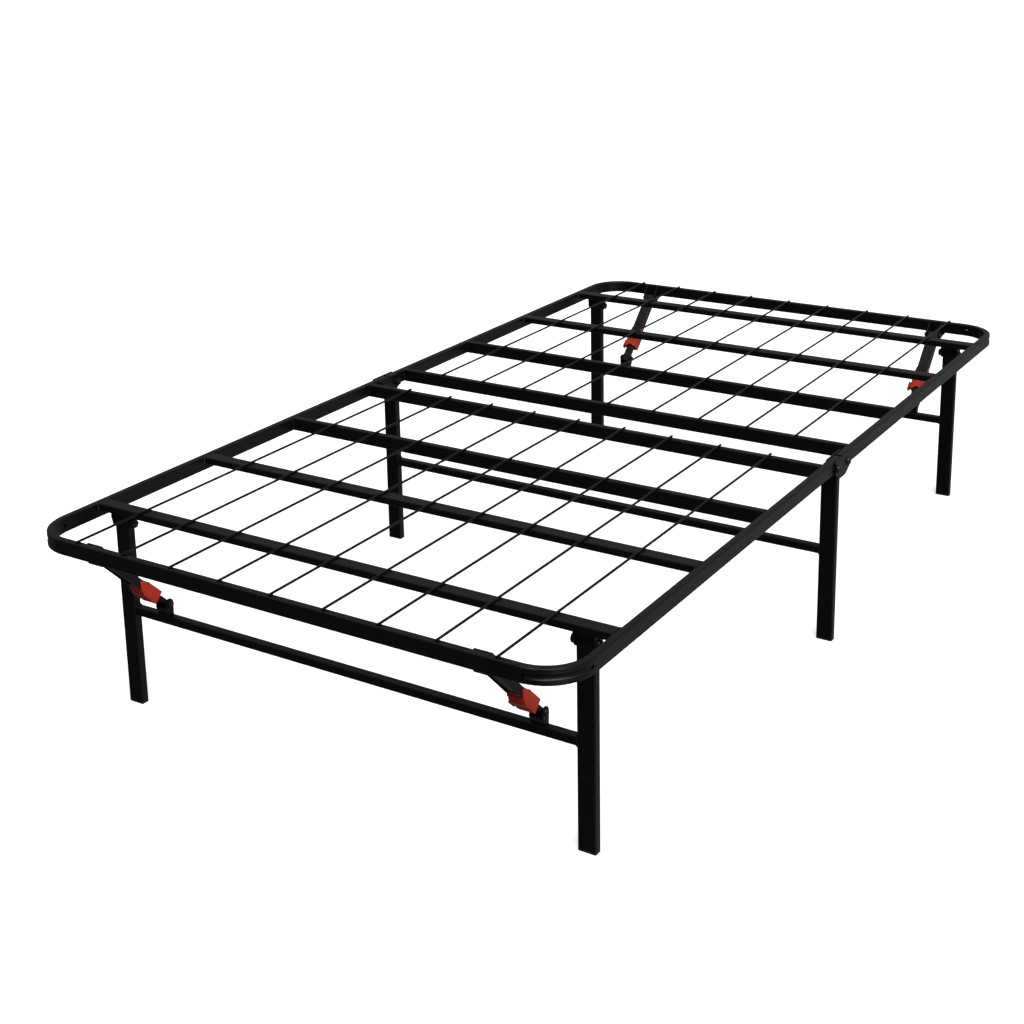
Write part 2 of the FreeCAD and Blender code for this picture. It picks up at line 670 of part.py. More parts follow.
def leg(label, half_turn, x, y, top, pivot_z=None):
    """An upright leg tube on its foot cap, drilled for a pivot bolt if it folds."""
    length = f"({top} - Sizes.cap_base)"
    middle = f"Sizes.cap_base + {length} / 2"
    body = tube(label, "XY_Plane", "Sizes.leg_wide", "Sizes.leg_deep", "Sizes.tube_corner", length, middle)
    if pivot_z:
        def bolt_hole(sketch):
            draw_circle(sketch, "0", pivot_z, "Sizes.large_bolt + Sizes.running_fit")

        prism(body, "Pocket", "YZ_Plane", "0", "Sizes.leg_wide + 2", bolt_hole)
    finish_node(body, half_turn, x=x, y=y)


def leg_cross_tube(label, half_turn, leg_x, y):
    """The square tube welded between two legs."""
    length = f"2 * {leg_x} - Sizes.leg_wide"
    across = "Sizes.cross_size"
    body = tube(label, "YZ_Plane", across, across, "Sizes.tube_corner", length)
    finish_node(body, half_turn, y=y, z="Sizes.cross_z")


def foot_caps(label, half_turn, leg_x, y):
    """Two black plastic feet, each with a plug that fills the end of its leg."""
    body = new_body(label)

    def base(sketch):
        draw_rounded_box(sketch, "Sizes.leg_wide", "Sizes.leg_deep", "Sizes.tube_corner", leg_x)

    def plug(sketch):
        less = "2 * (Sizes.tube_wall + Sizes.cap_fit)"
        corner = "Sizes.tube_corner - Sizes.tube_wall"
        draw_rounded_box(sketch, f"Sizes.leg_wide - {less}", f"Sizes.leg_deep - {less}", corner, leg_x)

    features = [
        prism(body, "Pad", "XY_Plane", "Sizes.cap_base / 2", "Sizes.cap_base", base),
        prism(body, "Pad", "XY_Plane", "Sizes.cap_base + Sizes.cap_plug / 2", "Sizes.cap_plug", plug),
    ]
    mirror_across_bed(body, features)
    finish_node(body, half_turn, y=y)


def brace_lugs(label, half_turn):
    """Two U-shaped lugs on the cross tube that hold the lower ends of the braces."""
    body = new_body(label)
    inside = "(Sizes.link_wide + 2 * Sizes.lug_gap)"
    outside = f"{inside} + 2 * Sizes.bracket_plate"
    tube_top = "(Sizes.cross_z + Sizes.cross_size / 2)"
    tube_y = "-Sizes.slat_leg_y"
    pin_y = "-Sizes.lower_pin_y"
    flat = "(Sizes.cross_size / 2 - Sizes.tube_corner)"

    def side_view(sketch):
        corners = [
            (f"{tube_y} - {flat}", tube_top),
            (f"{tube_y} + {flat}", tube_top),
            (f"{pin_y} + Sizes.lug_ear", "Sizes.lower_pin_z"),
            (f"{pin_y} - Sizes.lug_ear", "Sizes.lower_pin_z"),
        ]
        draw_polygon(sketch, corners)

    def rounded_end(sketch):
        draw_circle(sketch, pin_y, "Sizes.lower_pin_z", "Sizes.lug_ear")

    def link_space(sketch):
        low = f"{tube_top} + Sizes.bracket_plate"
        high = "Sizes.lower_pin_z + 2 * Sizes.lug_ear"
        reach = "2 * Sizes.lug_ear"
        draw_box(sketch, f"{pin_y} - {reach}", f"{pin_y} + {reach}", low, high)

    def web(side):
        def outline(sketch):
            corners = [
                (f"{tube_y} {side} {flat}", tube_top),
                (f"{tube_y} {side} ({flat} - Sizes.bracket_plate)", tube_top),
                (f"{pin_y} {side} (Sizes.lug_ear - Sizes.bracket_plate)", "Sizes.lug_web_top"),
                (f"{pin_y} {side} Sizes.lug_ear", "Sizes.lug_web_top"),
            ]
            draw_polygon(sketch, corners)
        return outline

    def bolt_hole(sketch):
        draw_circle(sketch, pin_y, "Sizes.lower_pin_z", "Sizes.small_bolt")

    features = [
        prism(body, "Pad", "YZ_Plane", "Sizes.brace_x", outside, side_view),
        prism(body, "Pad", "YZ_Plane", "Sizes.brace_x", outside, rounded_end),
        prism(body, "Pocket", "YZ_Plane", "Sizes.brace_x", inside, link_space),
        prism(body, "Pad", "YZ_Plane", "Sizes.brace_x", outside, web("-")),
        prism(body, "Pad", "YZ_Plane", "Sizes.brace_x", outside, web("+")),
        prism(body, "Pocket", "YZ_Plane", "Sizes.brace_x", f"{outside} + 2", bolt_hole),
    ]
    mirror_across_bed(body, features)
    finish_node(body, half_turn)


# ---------------------------------------------------------------- braces and latches
# A brace is drawn upright: Z runs from the upper pivot to the lower one, X is across the
# bed, and +Y is the side that faces out and down on the foot half.

BRACE_RISE = size("Sizes.upper_pin_z - Sizes.lower_pin_z")
BRACE_RUN = size("Sizes.upper_pin_y - Sizes.lower_pin_y")
BRACE_TILT = -90 - math.degrees(math.atan2(BRACE_RISE, BRACE_RUN))
BRACE_FALL = "(Sizes.upper_pin_z - Sizes.lower_pin_z)"
BRACE_REACH = "(Sizes.upper_pin_y - Sizes.lower_pin_y)"
BRACE_LONG = f"sqrt({BRACE_FALL} ^ 2 + {BRACE_REACH} ^ 2)"
CHANNEL_SIDE = "(Sizes.channel_wide / 2)"
CHANNEL_HALF = "(Sizes.channel_deep / 2)"


def place_brace_piece(piece, side, half_turn, x_sign, upper=True):
    """Lay a piece that is drawn upright along its brace, from the upper or lower pivot."""
    pin = "upper_pin" if upper else "lower_pin"
    x = f"({x_sign}) * Sizes.brace_x"
    y = f"({side}) * Sizes.{pin}_y"
    finish_node(piece, half_turn, x=x, y=y, z=f"Sizes.{pin}_z", tilt=BRACE_TILT)


def brace_channel(label):
    """The upper half of a brace: a U channel that turns between the bracket's ears."""
    body = new_body(label)
    inner_side = f"({CHANNEL_SIDE} - Sizes.channel_wall)"
    web_inside = f"-({CHANNEL_HALF} - Sizes.channel_wall)"
    past = "(Sizes.channel_web_past + Sizes.channel_wide / 2)"

    def section(sketch):
        corners = [
            (f"-{CHANNEL_SIDE}", CHANNEL_HALF),
            (f"-{CHANNEL_SIDE}", f"-{CHANNEL_HALF}"),
            (CHANNEL_SIDE, f"-{CHANNEL_HALF}"),
            (CHANNEL_SIDE, CHANNEL_HALF),
            (inner_side, CHANNEL_HALF),
            (inner_side, web_inside),
            (f"-{inner_side}", web_inside),
            (f"-{inner_side}", CHANNEL_HALF),
        ]
        draw_polygon(sketch, corners)

    def rounded_end(sketch):
        draw_circle(sketch, "0", "0", CHANNEL_HALF)

    def web_end(sketch):
        draw_box(sketch, f"-{CHANNEL_HALF}", web_inside, "-Sizes.channel_web_past", CHANNEL_HALF)

    def space_inside(sketch):
        draw_box(sketch, web_inside, f"{CHANNEL_HALF} + 1", f"-{past}", past)

    def taper(sketch):
        beyond = f"({CHANNEL_HALF} + 1)"
        corners = [
            ("Sizes.channel_slim", f"-{past}"),
            (beyond, f"-{past}"),
            (beyond, "Sizes.tongue_start"),
            (CHANNEL_HALF, "Sizes.tongue_start"),
        ]
        draw_polygon(sketch, corners)

    def bolt_hole(sketch):
        draw_circle(sketch, "0", "0", "Sizes.small_bolt + Sizes.running_fit")

    prism(body, "Pad", "XY_Plane", "Sizes.channel_end / 2", "Sizes.channel_end", section)
    side = size(CHANNEL_SIDE)
    back = -size(CHANNEL_HALF)

    def folded_edge(edge):
        middle = edge.CenterOfMass
        at_corner = abs(abs(middle.x) - side) < 0.01 and abs(middle.y - back) < 0.01
        return at_corner and runs_along(edge, Vector(0, 0, 1))

    round_edges(body, "Sizes.channel_wall - 0.2", folded_edge)
    prism(body, "Pad", "YZ_Plane", "0", "Sizes.channel_wide", rounded_end)
    prism(body, "Pad", "YZ_Plane", "0", f"2 * {inner_side}", web_end)
    prism(body, "Pocket", "YZ_Plane", "0", f"2 * {inner_side}", space_inside)
    prism(body, "Pocket", "YZ_Plane", "0", "Sizes.channel_wide + 2", taper)
    prism(body, "Pocket", "YZ_Plane", "0", "Sizes.channel_wide + 2", bolt_hole)
    return body


def brace_link(label):
    """The lower half of a brace: a flat tube that slides inside the channel."""
    length = "(Sizes.link_long + Sizes.link_tail)"
    middle = "(Sizes.link_tail - Sizes.link_long) / 2"
    body = tube(label, "XY_Plane", "Sizes.link_wide", "Sizes.link_deep", "Sizes.link_corner", length, middle)

    def bolt_hole(sketch):
        draw_circle(sketch, "0", "0", "Sizes.small_bolt + Sizes.running_fit")

    def lock_hole(sketch):
        half = "(Sizes.lock_hole / 2)"
        middle = f"Sizes.key_middle - {BRACE_LONG}"
        draw_box(sketch, f"-{half}", half, f"{middle} - {half}", f"{middle} + {half}")

    prism(body, "Pocket", "YZ_Plane", "0", "Sizes.link_wide + 2", bolt_hole)
    prism(body, "Pocket", "XZ_Plane", "Sizes.link_deep / 2", "2 * Sizes.tube_wall + 0.4", lock_hole)
    return body


def latch_housing(label, wing):
    """The red plastic housing: a block on the channel's lower end, open on the wing's side,
    and a tongue that lies inside the channel."""
    body = new_body(label)
    outer_x = f"({CHANNEL_SIDE} + Sizes.latch_wall)"
    outer_y = f"({CHANNEL_HALF} + Sizes.latch_wall)"
    room_start = "Sizes.latch_room_start"
    room_end = "(Sizes.latch_end - Sizes.latch_end_wall)"

    def block(sketch):
        corners = [
            (f"-{outer_y}", "Sizes.latch_start + Sizes.latch_slant"),
            (f"-{outer_y}", "Sizes.latch_end"),
            ("Sizes.latch_lid", "Sizes.latch_end"),
            ("Sizes.latch_lid", "Sizes.latch_step"),
            (outer_y, "Sizes.latch_step - Sizes.latch_rise"),
            (outer_y, "Sizes.latch_start"),
        ]
        draw_polygon(sketch, corners)

    def channel_space(sketch):
        draw_box(sketch, f"-{CHANNEL_SIDE}", CHANNEL_SIDE, f"-{CHANNEL_HALF}", CHANNEL_HALF)

    def tongue(sketch):
        draw_box(sketch, "-Sizes.tongue_half", "Sizes.tongue_half", "Sizes.tongue_low", "Sizes.tongue_high")

    def key_room(sketch):
        lid_inside = "Sizes.latch_lid - Sizes.latch_wall"
        draw_box(sketch, f"-{CHANNEL_SIDE}", CHANNEL_SIDE, "-Sizes.latch_floor", lid_inside)

    def link_window(sketch):
        side = "(Sizes.link_wide / 2 + Sizes.window_clear)"
        roof = "Sizes.link_deep / 2 + 2 * Sizes.window_clear"
        draw_box(sketch, f"-{side}", side, "-Sizes.latch_floor", roof)

    def arch(sketch):
        draw_circle(sketch, "0", "Sizes.latch_end + Sizes.latch_arch_past", "Sizes.latch_arch")

    def key_window(sketch):
        low = "Sizes.key_low - Sizes.key_clear"
        high = "Sizes.key_high + Sizes.key_clear"
        half = "(Sizes.key_long / 2 + Sizes.key_clear)"
        draw_box(sketch, low, high, f"Sizes.key_middle - {half}", f"Sizes.key_middle + {half}")

    prism(body, "Pad", "YZ_Plane", "0", f"2 * {outer_x}", block)

    def long_outer_edge(edge):
        at_side = abs(abs(edge.CenterOfMass.x) - size(outer_x)) < 0.01
        return at_side and runs_along(edge, Vector(0, 0, 1))

    round_edges(body, "Sizes.latch_corner", long_outer_edge)
    channel_room = f"({room_start} - Sizes.latch_start + 1)"
    prism(body, "Pocket", "XY_Plane", f"{room_start} - {channel_room} / 2", channel_room, channel_space)
    tongue_long = "(Sizes.latch_start + 1 - Sizes.tongue_start)"
    prism(body, "Pad", "XY_Plane", f"Sizes.tongue_start + {tongue_long} / 2", tongue_long, tongue)
    room_long = f"({room_end} - {room_start})"
    prism(body, "Pocket", "XY_Plane", f"{room_start} + {room_long} / 2", room_long, key_room)
    prism(body, "Pocket", "XY_Plane", "Sizes.latch_end", "2 * Sizes.latch_end_wall + 1", link_window)
    floor_middle = f"-({outer_y} + Sizes.latch_floor) / 2"
    prism(body, "Pocket", "XZ_Plane", floor_middle, f"{outer_y} - Sizes.latch_floor + 1", arch)
    wall_middle = f"({wing}) * ({CHANNEL_SIDE} + Sizes.latch_wall / 2)"
    prism(body, "Pocket", "YZ_Plane", wall_middle, "Sizes.latch_wall + 1", key_window)
    return body


def latch_key(label, wing):
    """The red push key: a finger wing outside, a stem, a stop collar and a tooth inside."""
    body = new_body(label)
    toward = f"({wing})"
    stem_end = f"({CHANNEL_SIDE} + Sizes.latch_wall + Sizes.key_travel + Sizes.key_stop)"
    collar_outer = f"({CHANNEL_SIDE} - Sizes.key_stop)"
    key_middle_y = "(Sizes.key_low + Sizes.key_high) / 2"

    def stem(sketch):
        inner_end, outer_end = f"-{toward} * Sizes.key_inner", f"{toward} * {stem_end}"
        draw_box(sketch, inner_end, outer_end, "Sizes.key_low", "Sizes.key_high")

    def stop_collar(sketch):
        inner = f"{toward} * ({collar_outer} - Sizes.collar_thick)"
        low, high = "Sizes.key_low - Sizes.collar_step", "Sizes.key_high + Sizes.collar_step"
        draw_box(sketch, inner, f"{toward} * {collar_outer}", low, high)

    def tooth(sketch):
        draw_box(sketch, "-Sizes.tooth_half", "Sizes.tooth_half", "Sizes.tooth_low", "Sizes.key_low")

    def finger_wing(sketch):
        top, bottom = "(Sizes.key_middle - Sizes.wing_up)", "(Sizes.key_middle + Sizes.wing_down)"
        outline = [
            (stem_end, f"{top} + Sizes.wing_inset"),
            (stem_end, f"{bottom} - 2 * Sizes.wing_inset"),
            ("Sizes.wing_reach - Sizes.wing_inset / 2", bottom),
            ("Sizes.wing_reach", f"{bottom} - Sizes.wing_inset"),
            ("Sizes.wing_reach - Sizes.wing_inset / 2", "Sizes.key_middle"),
            ("Sizes.wing_reach", f"{top} + Sizes.wing_inset"),
            ("Sizes.wing_reach - Sizes.wing_inset / 2", top),
        ]
        draw_polygon(sketch, [(f"{toward} * ({x})", z) for x, z in outline])

    prism(body, "Pad", "XY_Plane", "Sizes.key_middle", "Sizes.key_long", stem)
    collar_long = "Sizes.key_long + 6 * Sizes.collar_step"
    prism(body, "Pad", "XY_Plane", "Sizes.key_middle", collar_long, stop_collar)
    prism(body, "Pad", "XY_Plane", "Sizes.key_middle", "Sizes.key_long / 2", tooth)
    prism(body, "Pad", "XZ_Plane", f"{key_middle_y} - 2", "Sizes.wing_deep", finger_wing)
    return body


def latch_spring(label, wing):
    """The coil spring that pushes the key out, between its inner end and the housing."""
    helix = doc.addObject("Part::Helix", f"{label}_line")
    clear = "(Sizes.spring_wire + 0.2)"
    length = f"({CHANNEL_SIDE} - Sizes.key_inner - 2 * {clear})"
    helix.setExpression("Radius", "Sizes.spring_radius")
    helix.setExpression("Pitch", "Sizes.spring_pitch")
    helix.setExpression("Height", length)
    axis_turn = Rotation(Vector(0, 1, 0), 90)
    start = "Sizes.key_inner" if wing < 0 else f"-{CHANNEL_SIDE}"
    level = "(Sizes.key_low + Sizes.key_high) / 2"
    spot = Vector(size(f"{start} + {clear}"), size(level), size("Sizes.key_middle"))
    helix.Placement = Placement(spot, axis_turn)
    section = doc.addObject("Part::Circle", f"{label}_section")
    section.setExpression("Radius", "Sizes.spring_wire")
    across_wire = Rotation(Vector(1, 0, 0), 90)
    ring_start = Vector(size("Sizes.spring_radius"), 0, 0)
    section.Placement = helix.Placement.multiply(Placement(ring_start, across_wire))
    spring = doc.addObject("Part::Sweep", label)
    spring.Sections = [section]
    spring.Spine = (helix, ["Edge1"])
    spring.Solid = True
    spring.Frenet = True
    return spring


# ---------------------------------------------------------------- the centre stand

def centre_bracket(label, turn):
    """A hinge bracket: two plates either side of a rail, on a web over the centre leg."""
    body = new_body(label)
    rail_out = "(Sizes.bed_width / 2 + Sizes.hinge_gap)"
    rail_in = f"({RAIL_INSIDE} - Sizes.hinge_gap)"
    middle = f"({rail_out} + {rail_in}) / 2"
    space = f"({rail_out} - {rail_in})"
    outside = f"{space} + 2 * Sizes.hinge_plate"

    def plates(sketch):
        half, web = "Sizes.hinge_half", "Sizes.hinge_web_half"
        corners = [
            (f"-{half}", "Sizes.hinge_top - Sizes.hinge_corner"),
            (f"-{half}", "Sizes.hinge_shoulder"),
            (f"-{web}", "Sizes.stand_top"),
            (web, "Sizes.stand_top"),
            (half, "Sizes.hinge_shoulder"),
            (half, "Sizes.hinge_top - Sizes.hinge_corner"),
            (f"{half} - Sizes.hinge_corner", "Sizes.hinge_top"),
            (f"-({half} - Sizes.hinge_corner)", "Sizes.hinge_top"),
        ]
        draw_polygon(sketch, corners)

    def rail_space(sketch):
        reach = "(Sizes.hinge_half + 1)"
        draw_box(sketch, f"-{reach}", reach, "Sizes.stand_top + Sizes.hinge_plate", "Sizes.hinge_top + 1")

    def space_beside_web(sketch, sign):
        near, far = "Sizes.hinge_web_half", "(Sizes.hinge_half + 1)"
        corners = [
            (f"({sign}) * {near}", "Sizes.stand_top - 1"),
            (f"({sign}) * {far}", "Sizes.stand_top - 1"),
            (f"({sign}) * {far}", "Sizes.stand_top + Sizes.hinge_plate + 1"),
            (f"({sign}) * {near}", "Sizes.stand_top + Sizes.hinge_plate + 1"),
        ]
        draw_polygon(sketch, corners)

    def web(sketch):
        leg_inner = "Sizes.stand_x - Sizes.leg_wide / 2"
        half = "Sizes.hinge_web_half"
        draw_box(sketch, leg_inner, f"{rail_out} + Sizes.hinge_plate", f"-{half}", half)

    def bolt_holes(sketch):
        for sign in ("-", ""):
            draw_circle(sketch, f"{sign}Sizes.hinge_y", "Sizes.hinge_z", "Sizes.large_bolt")

    prism(body, "Pad", "YZ_Plane", middle, outside, plates)
    prism(body, "Pocket", "YZ_Plane", middle, space, rail_space)
    for sign in (-1, 1):
        prism(body, "Pocket", "YZ_Plane", middle, space, lambda sketch: space_beside_web(sketch, sign))
    prism(body, "Pad", "XY_Plane", "Sizes.stand_top + Sizes.hinge_plate / 2", "Sizes.hinge_plate", web)
    prism(body, "Pocket", "YZ_Plane", middle, f"{outside} + 2", bolt_holes)
    finish_node(body, turn)


def centre_stand():
    """Two fixed legs with a cross tube, hinge brackets, foot caps and four hinge bolts."""
    for name, x_sign in SIDES:
        x = f"({x_sign}) * Sizes.stand_x"
        leg(f"centre_leg_{name}", NO_TURN, x, "0", "Sizes.stand_top")
        centre_bracket(f"centre_bracket_{name}", NO_TURN if x_sign > 0 else HALF_TURN)
    leg_cross_tube("centre_cross_tube", NO_TURN, "Sizes.stand_x", "0")
    foot_caps("centre_foot_caps", NO_TURN, "Sizes.stand_x", "0")
    outer_face = "Sizes.bed_width / 2 + Sizes.hinge_gap + Sizes.hinge_plate"
    grip = "(Sizes.rail_wide + 2 * (Sizes.hinge_gap + Sizes.hinge_plate))"
    spots = [(outer_face, f"{sign}Sizes.hinge_y", "Sizes.hinge_z") for sign in ("-", "")]
    bolted_pairs("centre_hinge_bolts", NO_TURN, "Sizes.large_bolt", grip, spots)


def half_deck(prefix, side, half_turn):
    """The deck of one half, with the saddles, brackets and bolts fixed to it."""
    perimeter_rail(f"{prefix}_perimeter_rail", half_turn)
    slats(prefix, side, half_turn)
    deck_wires(f"{prefix}_deck_wires", half_turn)
    leg_saddles(f"{prefix}_leg_saddles", half_turn)
    brace_brackets(f"{prefix}_brace_brackets", half_turn)
    ear_face = "(Sizes.leg_wide / 2 + Sizes.saddle_gap + Sizes.saddle_plate)"
    leg_spot = (f"Sizes.leg_x + {ear_face}", "-Sizes.slat_leg_y", "Sizes.leg_pivot_z")
    bolted_pairs(f"{prefix}_leg_pivot_bolts", half_turn, "Sizes.large_bolt", f"2 * {ear_face}", [leg_spot])
    head_face = f"({CHANNEL_SIDE} + Sizes.brace_gap + Sizes.bracket_plate)"
    brace_spot = (f"Sizes.brace_x + {head_face}", "-Sizes.upper_pin_y", "Sizes.upper_pin_z")
    upper_bolts = f"{prefix}_brace_upper_bolts"
    bolted_pairs(upper_bolts, half_turn, "Sizes.small_bolt", f"2 * {head_face}", [brace_spot])


def half_legs(prefix, side, half_turn):
    """The folding leg frame of one half."""
    y = f"({side}) * Sizes.slat_leg_y"
    for name, x_sign in SIDES:
        x = f"({x_sign}) * Sizes.leg_x"
        leg(f"{prefix}_leg_{name}", half_turn, x, y, "Sizes.leg_top", "Sizes.leg_pivot_z")
    leg_cross_tube(f"{prefix}_leg_cross_tube", half_turn, "Sizes.leg_x", y)
    foot_caps(f"{prefix}_leg_foot_caps", half_turn, "Sizes.leg_x", y)
    brace_lugs(f"{prefix}_brace_lugs", half_turn)
    lug_face = "(Sizes.link_wide / 2 + Sizes.lug_gap + Sizes.bracket_plate)"
    spot = (f"Sizes.brace_x + {lug_face}", "-Sizes.lower_pin_y", "Sizes.lower_pin_z")
    bolted_pairs(f"{prefix}_brace_lower_bolts", half_turn, "Sizes.small_bolt", f"2 * {lug_face}", [spot])


def half_braces(prefix, side, half_turn):
    """The two braces of one half. Every finger wing points to -X."""
    wing = side
    for name, x_sign in SIDES:
        for make, piece_name in ((brace_channel, "brace_channel"), (brace_link, "brace_link")):
            piece = make(f"{prefix}_{piece_name}_{name}")
            place_brace_piece(piece, side, half_turn, x_sign, upper=make is brace_channel)
        for make, piece_name in (
            (latch_housing, "latch_housing"),
            (latch_key, "latch_key"),
            (latch_spring, "latch_spring"),
        ):
            piece = make(f"{prefix}_{piece_name}_{name}", wing)
            place_brace_piece(piece, side, half_turn, x_sign)


centre_stand()
for half_name, half_side, turn_to_half in HALVES:
    half_deck(half_name, half_side, turn_to_half)
    half_legs(half_name, half_side, turn_to_half)
    half_braces(half_name, half_side, turn_to_half)
doc.recompute()

for item in doc.Objects:
    if "Invalid" in item.State or "Error" in item.State:
        raise RuntimeError(f"{item.Label} failed: {item.State}")
for piece in nodes:
    if piece.Shape.isNull() or not piece.Shape.isValid():
        raise RuntimeError(f"{piece.Label} has no valid shape")

os.makedirs("parts", exist_ok=True)
for piece in nodes:
    piece.Shape.exportStep(f"parts/{piece.Label}.step")
print(f"{len(nodes)} nodes written")
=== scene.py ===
"""Looks for a folding platform bed frame: black powder-coated steel with red latches."""
import json
import math

import bpy
from bpy.props import FloatProperty, FloatVectorProperty, PointerProperty
from bpy.types import Operator, Panel, PropertyGroup
from mathutils import Euler, Matrix, Vector


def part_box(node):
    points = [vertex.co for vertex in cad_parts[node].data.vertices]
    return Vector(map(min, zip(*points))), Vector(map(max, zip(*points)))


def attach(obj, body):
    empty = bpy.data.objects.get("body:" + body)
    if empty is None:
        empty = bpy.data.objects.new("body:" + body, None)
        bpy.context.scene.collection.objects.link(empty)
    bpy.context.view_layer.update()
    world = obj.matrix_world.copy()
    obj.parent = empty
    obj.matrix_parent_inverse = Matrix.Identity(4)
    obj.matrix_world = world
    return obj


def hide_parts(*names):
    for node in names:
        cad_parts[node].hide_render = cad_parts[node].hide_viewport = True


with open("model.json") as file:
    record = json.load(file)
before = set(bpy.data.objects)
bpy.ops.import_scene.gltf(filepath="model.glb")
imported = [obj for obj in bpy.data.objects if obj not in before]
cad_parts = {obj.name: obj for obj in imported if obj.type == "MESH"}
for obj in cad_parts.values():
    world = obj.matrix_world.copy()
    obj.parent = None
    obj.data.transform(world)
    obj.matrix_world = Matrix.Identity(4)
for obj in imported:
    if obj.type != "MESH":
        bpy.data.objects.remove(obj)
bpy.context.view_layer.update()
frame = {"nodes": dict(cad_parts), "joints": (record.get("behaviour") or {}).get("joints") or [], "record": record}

bl_info = {
    "name": "Folding Bed Frame Finishes",
    "version": (1, 0, 0),
    "blender": (4, 5, 0),
    "location": "View3D > Sidebar > Bed Frame",
    "description": "Powder coat, welds, latches and a studio for a folding bed frame",
    "category": "Object",
}

MM = 0.001
HALVES = {"foot": -1, "head": 1}
SIDES = ("left", "right")
SLATS = (1, 2, 3, 4)
WIRES = 9

# A latch is drawn on a brace that hangs upright below its upper pivot: X across the bed,
# Y out of the channel's open side, and Z down the brace from the pivot. The ribs, the rooms
# cut from a housing and the parts joined to a key's wing are given in millimetres.
HOUSING_HALF = 14 * MM
HOUSING_FACE = 9 * MM
HOUSING_START = 100 * MM
HOUSING_END = 144 * MM
BACK_STEP = 8 * MM
CHEEK_LINE = -3 * MM
CHEEK_REACH = 13 * MM
LID_FACE = 13 * MM
LID_FOOT = 104 * MM
LID_START = 110 * MM
HOUSING_RIBS = ((126, 128), (131, 133), (136, 138))
HOUSING_ROOMS = {
    "channel": ((-12, -7, 80), (12, 7, 123)),
    "key": ((-12, -5.6, 122.9), (12, 11, 141.5)),
    "link": ((-9.6, -5.6, 141), (9.6, 5.2, 146)),
    "slot": ((-15, 6.4, 125.8), (-11, 10.6, 138.8)),
}
ARCH_CENTRE = (0, -7.4 * MM, 148 * MM)
ARCH_RADIUS = 9 * MM
ARCH_DEPTH = 4 * MM
TONGUE_LOW = (-10.2 * MM, 4.4 * MM, 92 * MM)
TONGUE_HIGH = (10.2 * MM, 8.4 * MM, 109 * MM)
TONGUE_TAPER = 3 * MM
WING_LOW = (-22.5 * MM, 1 * MM, 124.3 * MM)
WING_HIGH = (-18.3 * MM, 12 * MM, 144.3 * MM)
WING_TAPER = (2.5 * MM, 5 * MM)
WING_RIBS = ((127, 129), (131.5, 133.5), (136, 138))
KEY_PARTS = {
    "bar": ((-19, 6.7, 126.1), (4, 10.3, 138.5)),
    "collar": ((-11.7, 6.2, 124.6), (-9.7, 10.8, 140)),
    "tooth": ((-3, 5.2, 129.2), (3, 7, 135.4)),
}
RIB_MARGIN = 0.4 * MM
HOUSING_RIB_DEPTH = 0.5 * MM
WING_RIB_DEPTH = 0.6 * MM
HOUSING_ROUND = 0.6 * MM
KEY_ROUND = 0.5 * MM

# A bead's length as a share of the face it runs along; the end rail's spots lie this many
# wire thicknesses from the wires' ends.
SLAT_BEAD_SHARE = 0.86
LEG_BEAD_SHARE = 0.92
END_SPOT_INSET = 1.2
SPOT_STRETCH = Matrix.Diagonal((0.9, 1.3, 1, 1))

CAP_WALL = 1.3 * MM
CAP_PLUG = 14 * MM
CAP_CORNER = 2.4 * MM
SOLE_RIM = 2.2 * MM
SOLE_DEPTH = 0.6 * MM

# Directions that the room's light comes from, and how strong each light is. A sun is its
# strength, its width in degrees and its turn about X, Y and Z in degrees.
WALL_SIDE = (0.55, 0.83, 0.0)
WALL_LIGHT = 0.27
PANEL_SIDE = (0.78, -0.50, -0.38)
PANEL_LIGHT = 0.75
ROOM_LIGHT = 0.05
SUNS = {
    "key": (2.6, 40, (35, 0, 52)),
    "fill": (0.5, 60, (20, 0, -60)),
}
FLOOR_RADIUS = 40
FLOOR_GLOW = 0.5

RECORD = frame["record"]


# ---------------------------------------------------------------- settings

class CoatSettings(PropertyGroup):
    """The black powder coat on the steel."""
    colour: FloatVectorProperty(name="Coat colour", description="Colour of the powder coat",
                                subtype="COLOR", size=3, min=0, max=1,
                                default=(0.0030, 0.0030, 0.0040))
    roughness: FloatProperty(name="Coat roughness", description="Mean roughness of the coat",
                             min=0, max=1, default=0.36)
    peel_size: FloatProperty(name="Orange peel size", description="Width of one bump of the coat",
                             unit="LENGTH", default=1.6 * MM)
    peel_height: FloatProperty(name="Orange peel height",
                               description="Height of one bump of the coat",
                               unit="LENGTH", default=0.05 * MM)


class WeldSettings(PropertyGroup):
    """Weld beads between the tubes, and the spots that hold the wires."""
    bead_radius: FloatProperty(name="Bead radius", description="Radius of a weld bead",
                               unit="LENGTH", default=1.7 * MM)
    ripple: FloatProperty(name="Ripple pitch", description="From one ripple of a bead to the next",
                          unit="LENGTH", default=1.8 * MM)
    spot_width: FloatProperty(name="Spot width", description="Width of the weld under a wire",
                              unit="LENGTH", default=5.4 * MM)
    spot_height: FloatProperty(name="Spot height", description="Height of the weld under a wire",
                               unit="LENGTH", default=0.7 * MM)


class PlasticSettings(PropertyGroup):
    """The red latches and the black foot caps."""
    latch_colour: FloatVectorProperty(name="Latch colour",
                                      description="Colour of the latch plastic",
                                      subtype="COLOR", size=3, min=0, max=1,
                                      default=(0.64, 0.036, 0.012))
    latch_roughness: FloatProperty(name="Latch roughness",
                                   description="Mean roughness of the latches",
                                   min=0, max=1, default=0.42)
    foot_colour: FloatVectorProperty(name="Foot colour", description="Colour of the foot caps",
                                     subtype="COLOR", size=3, min=0, max=1,
                                     default=(0.007, 0.007, 0.007))


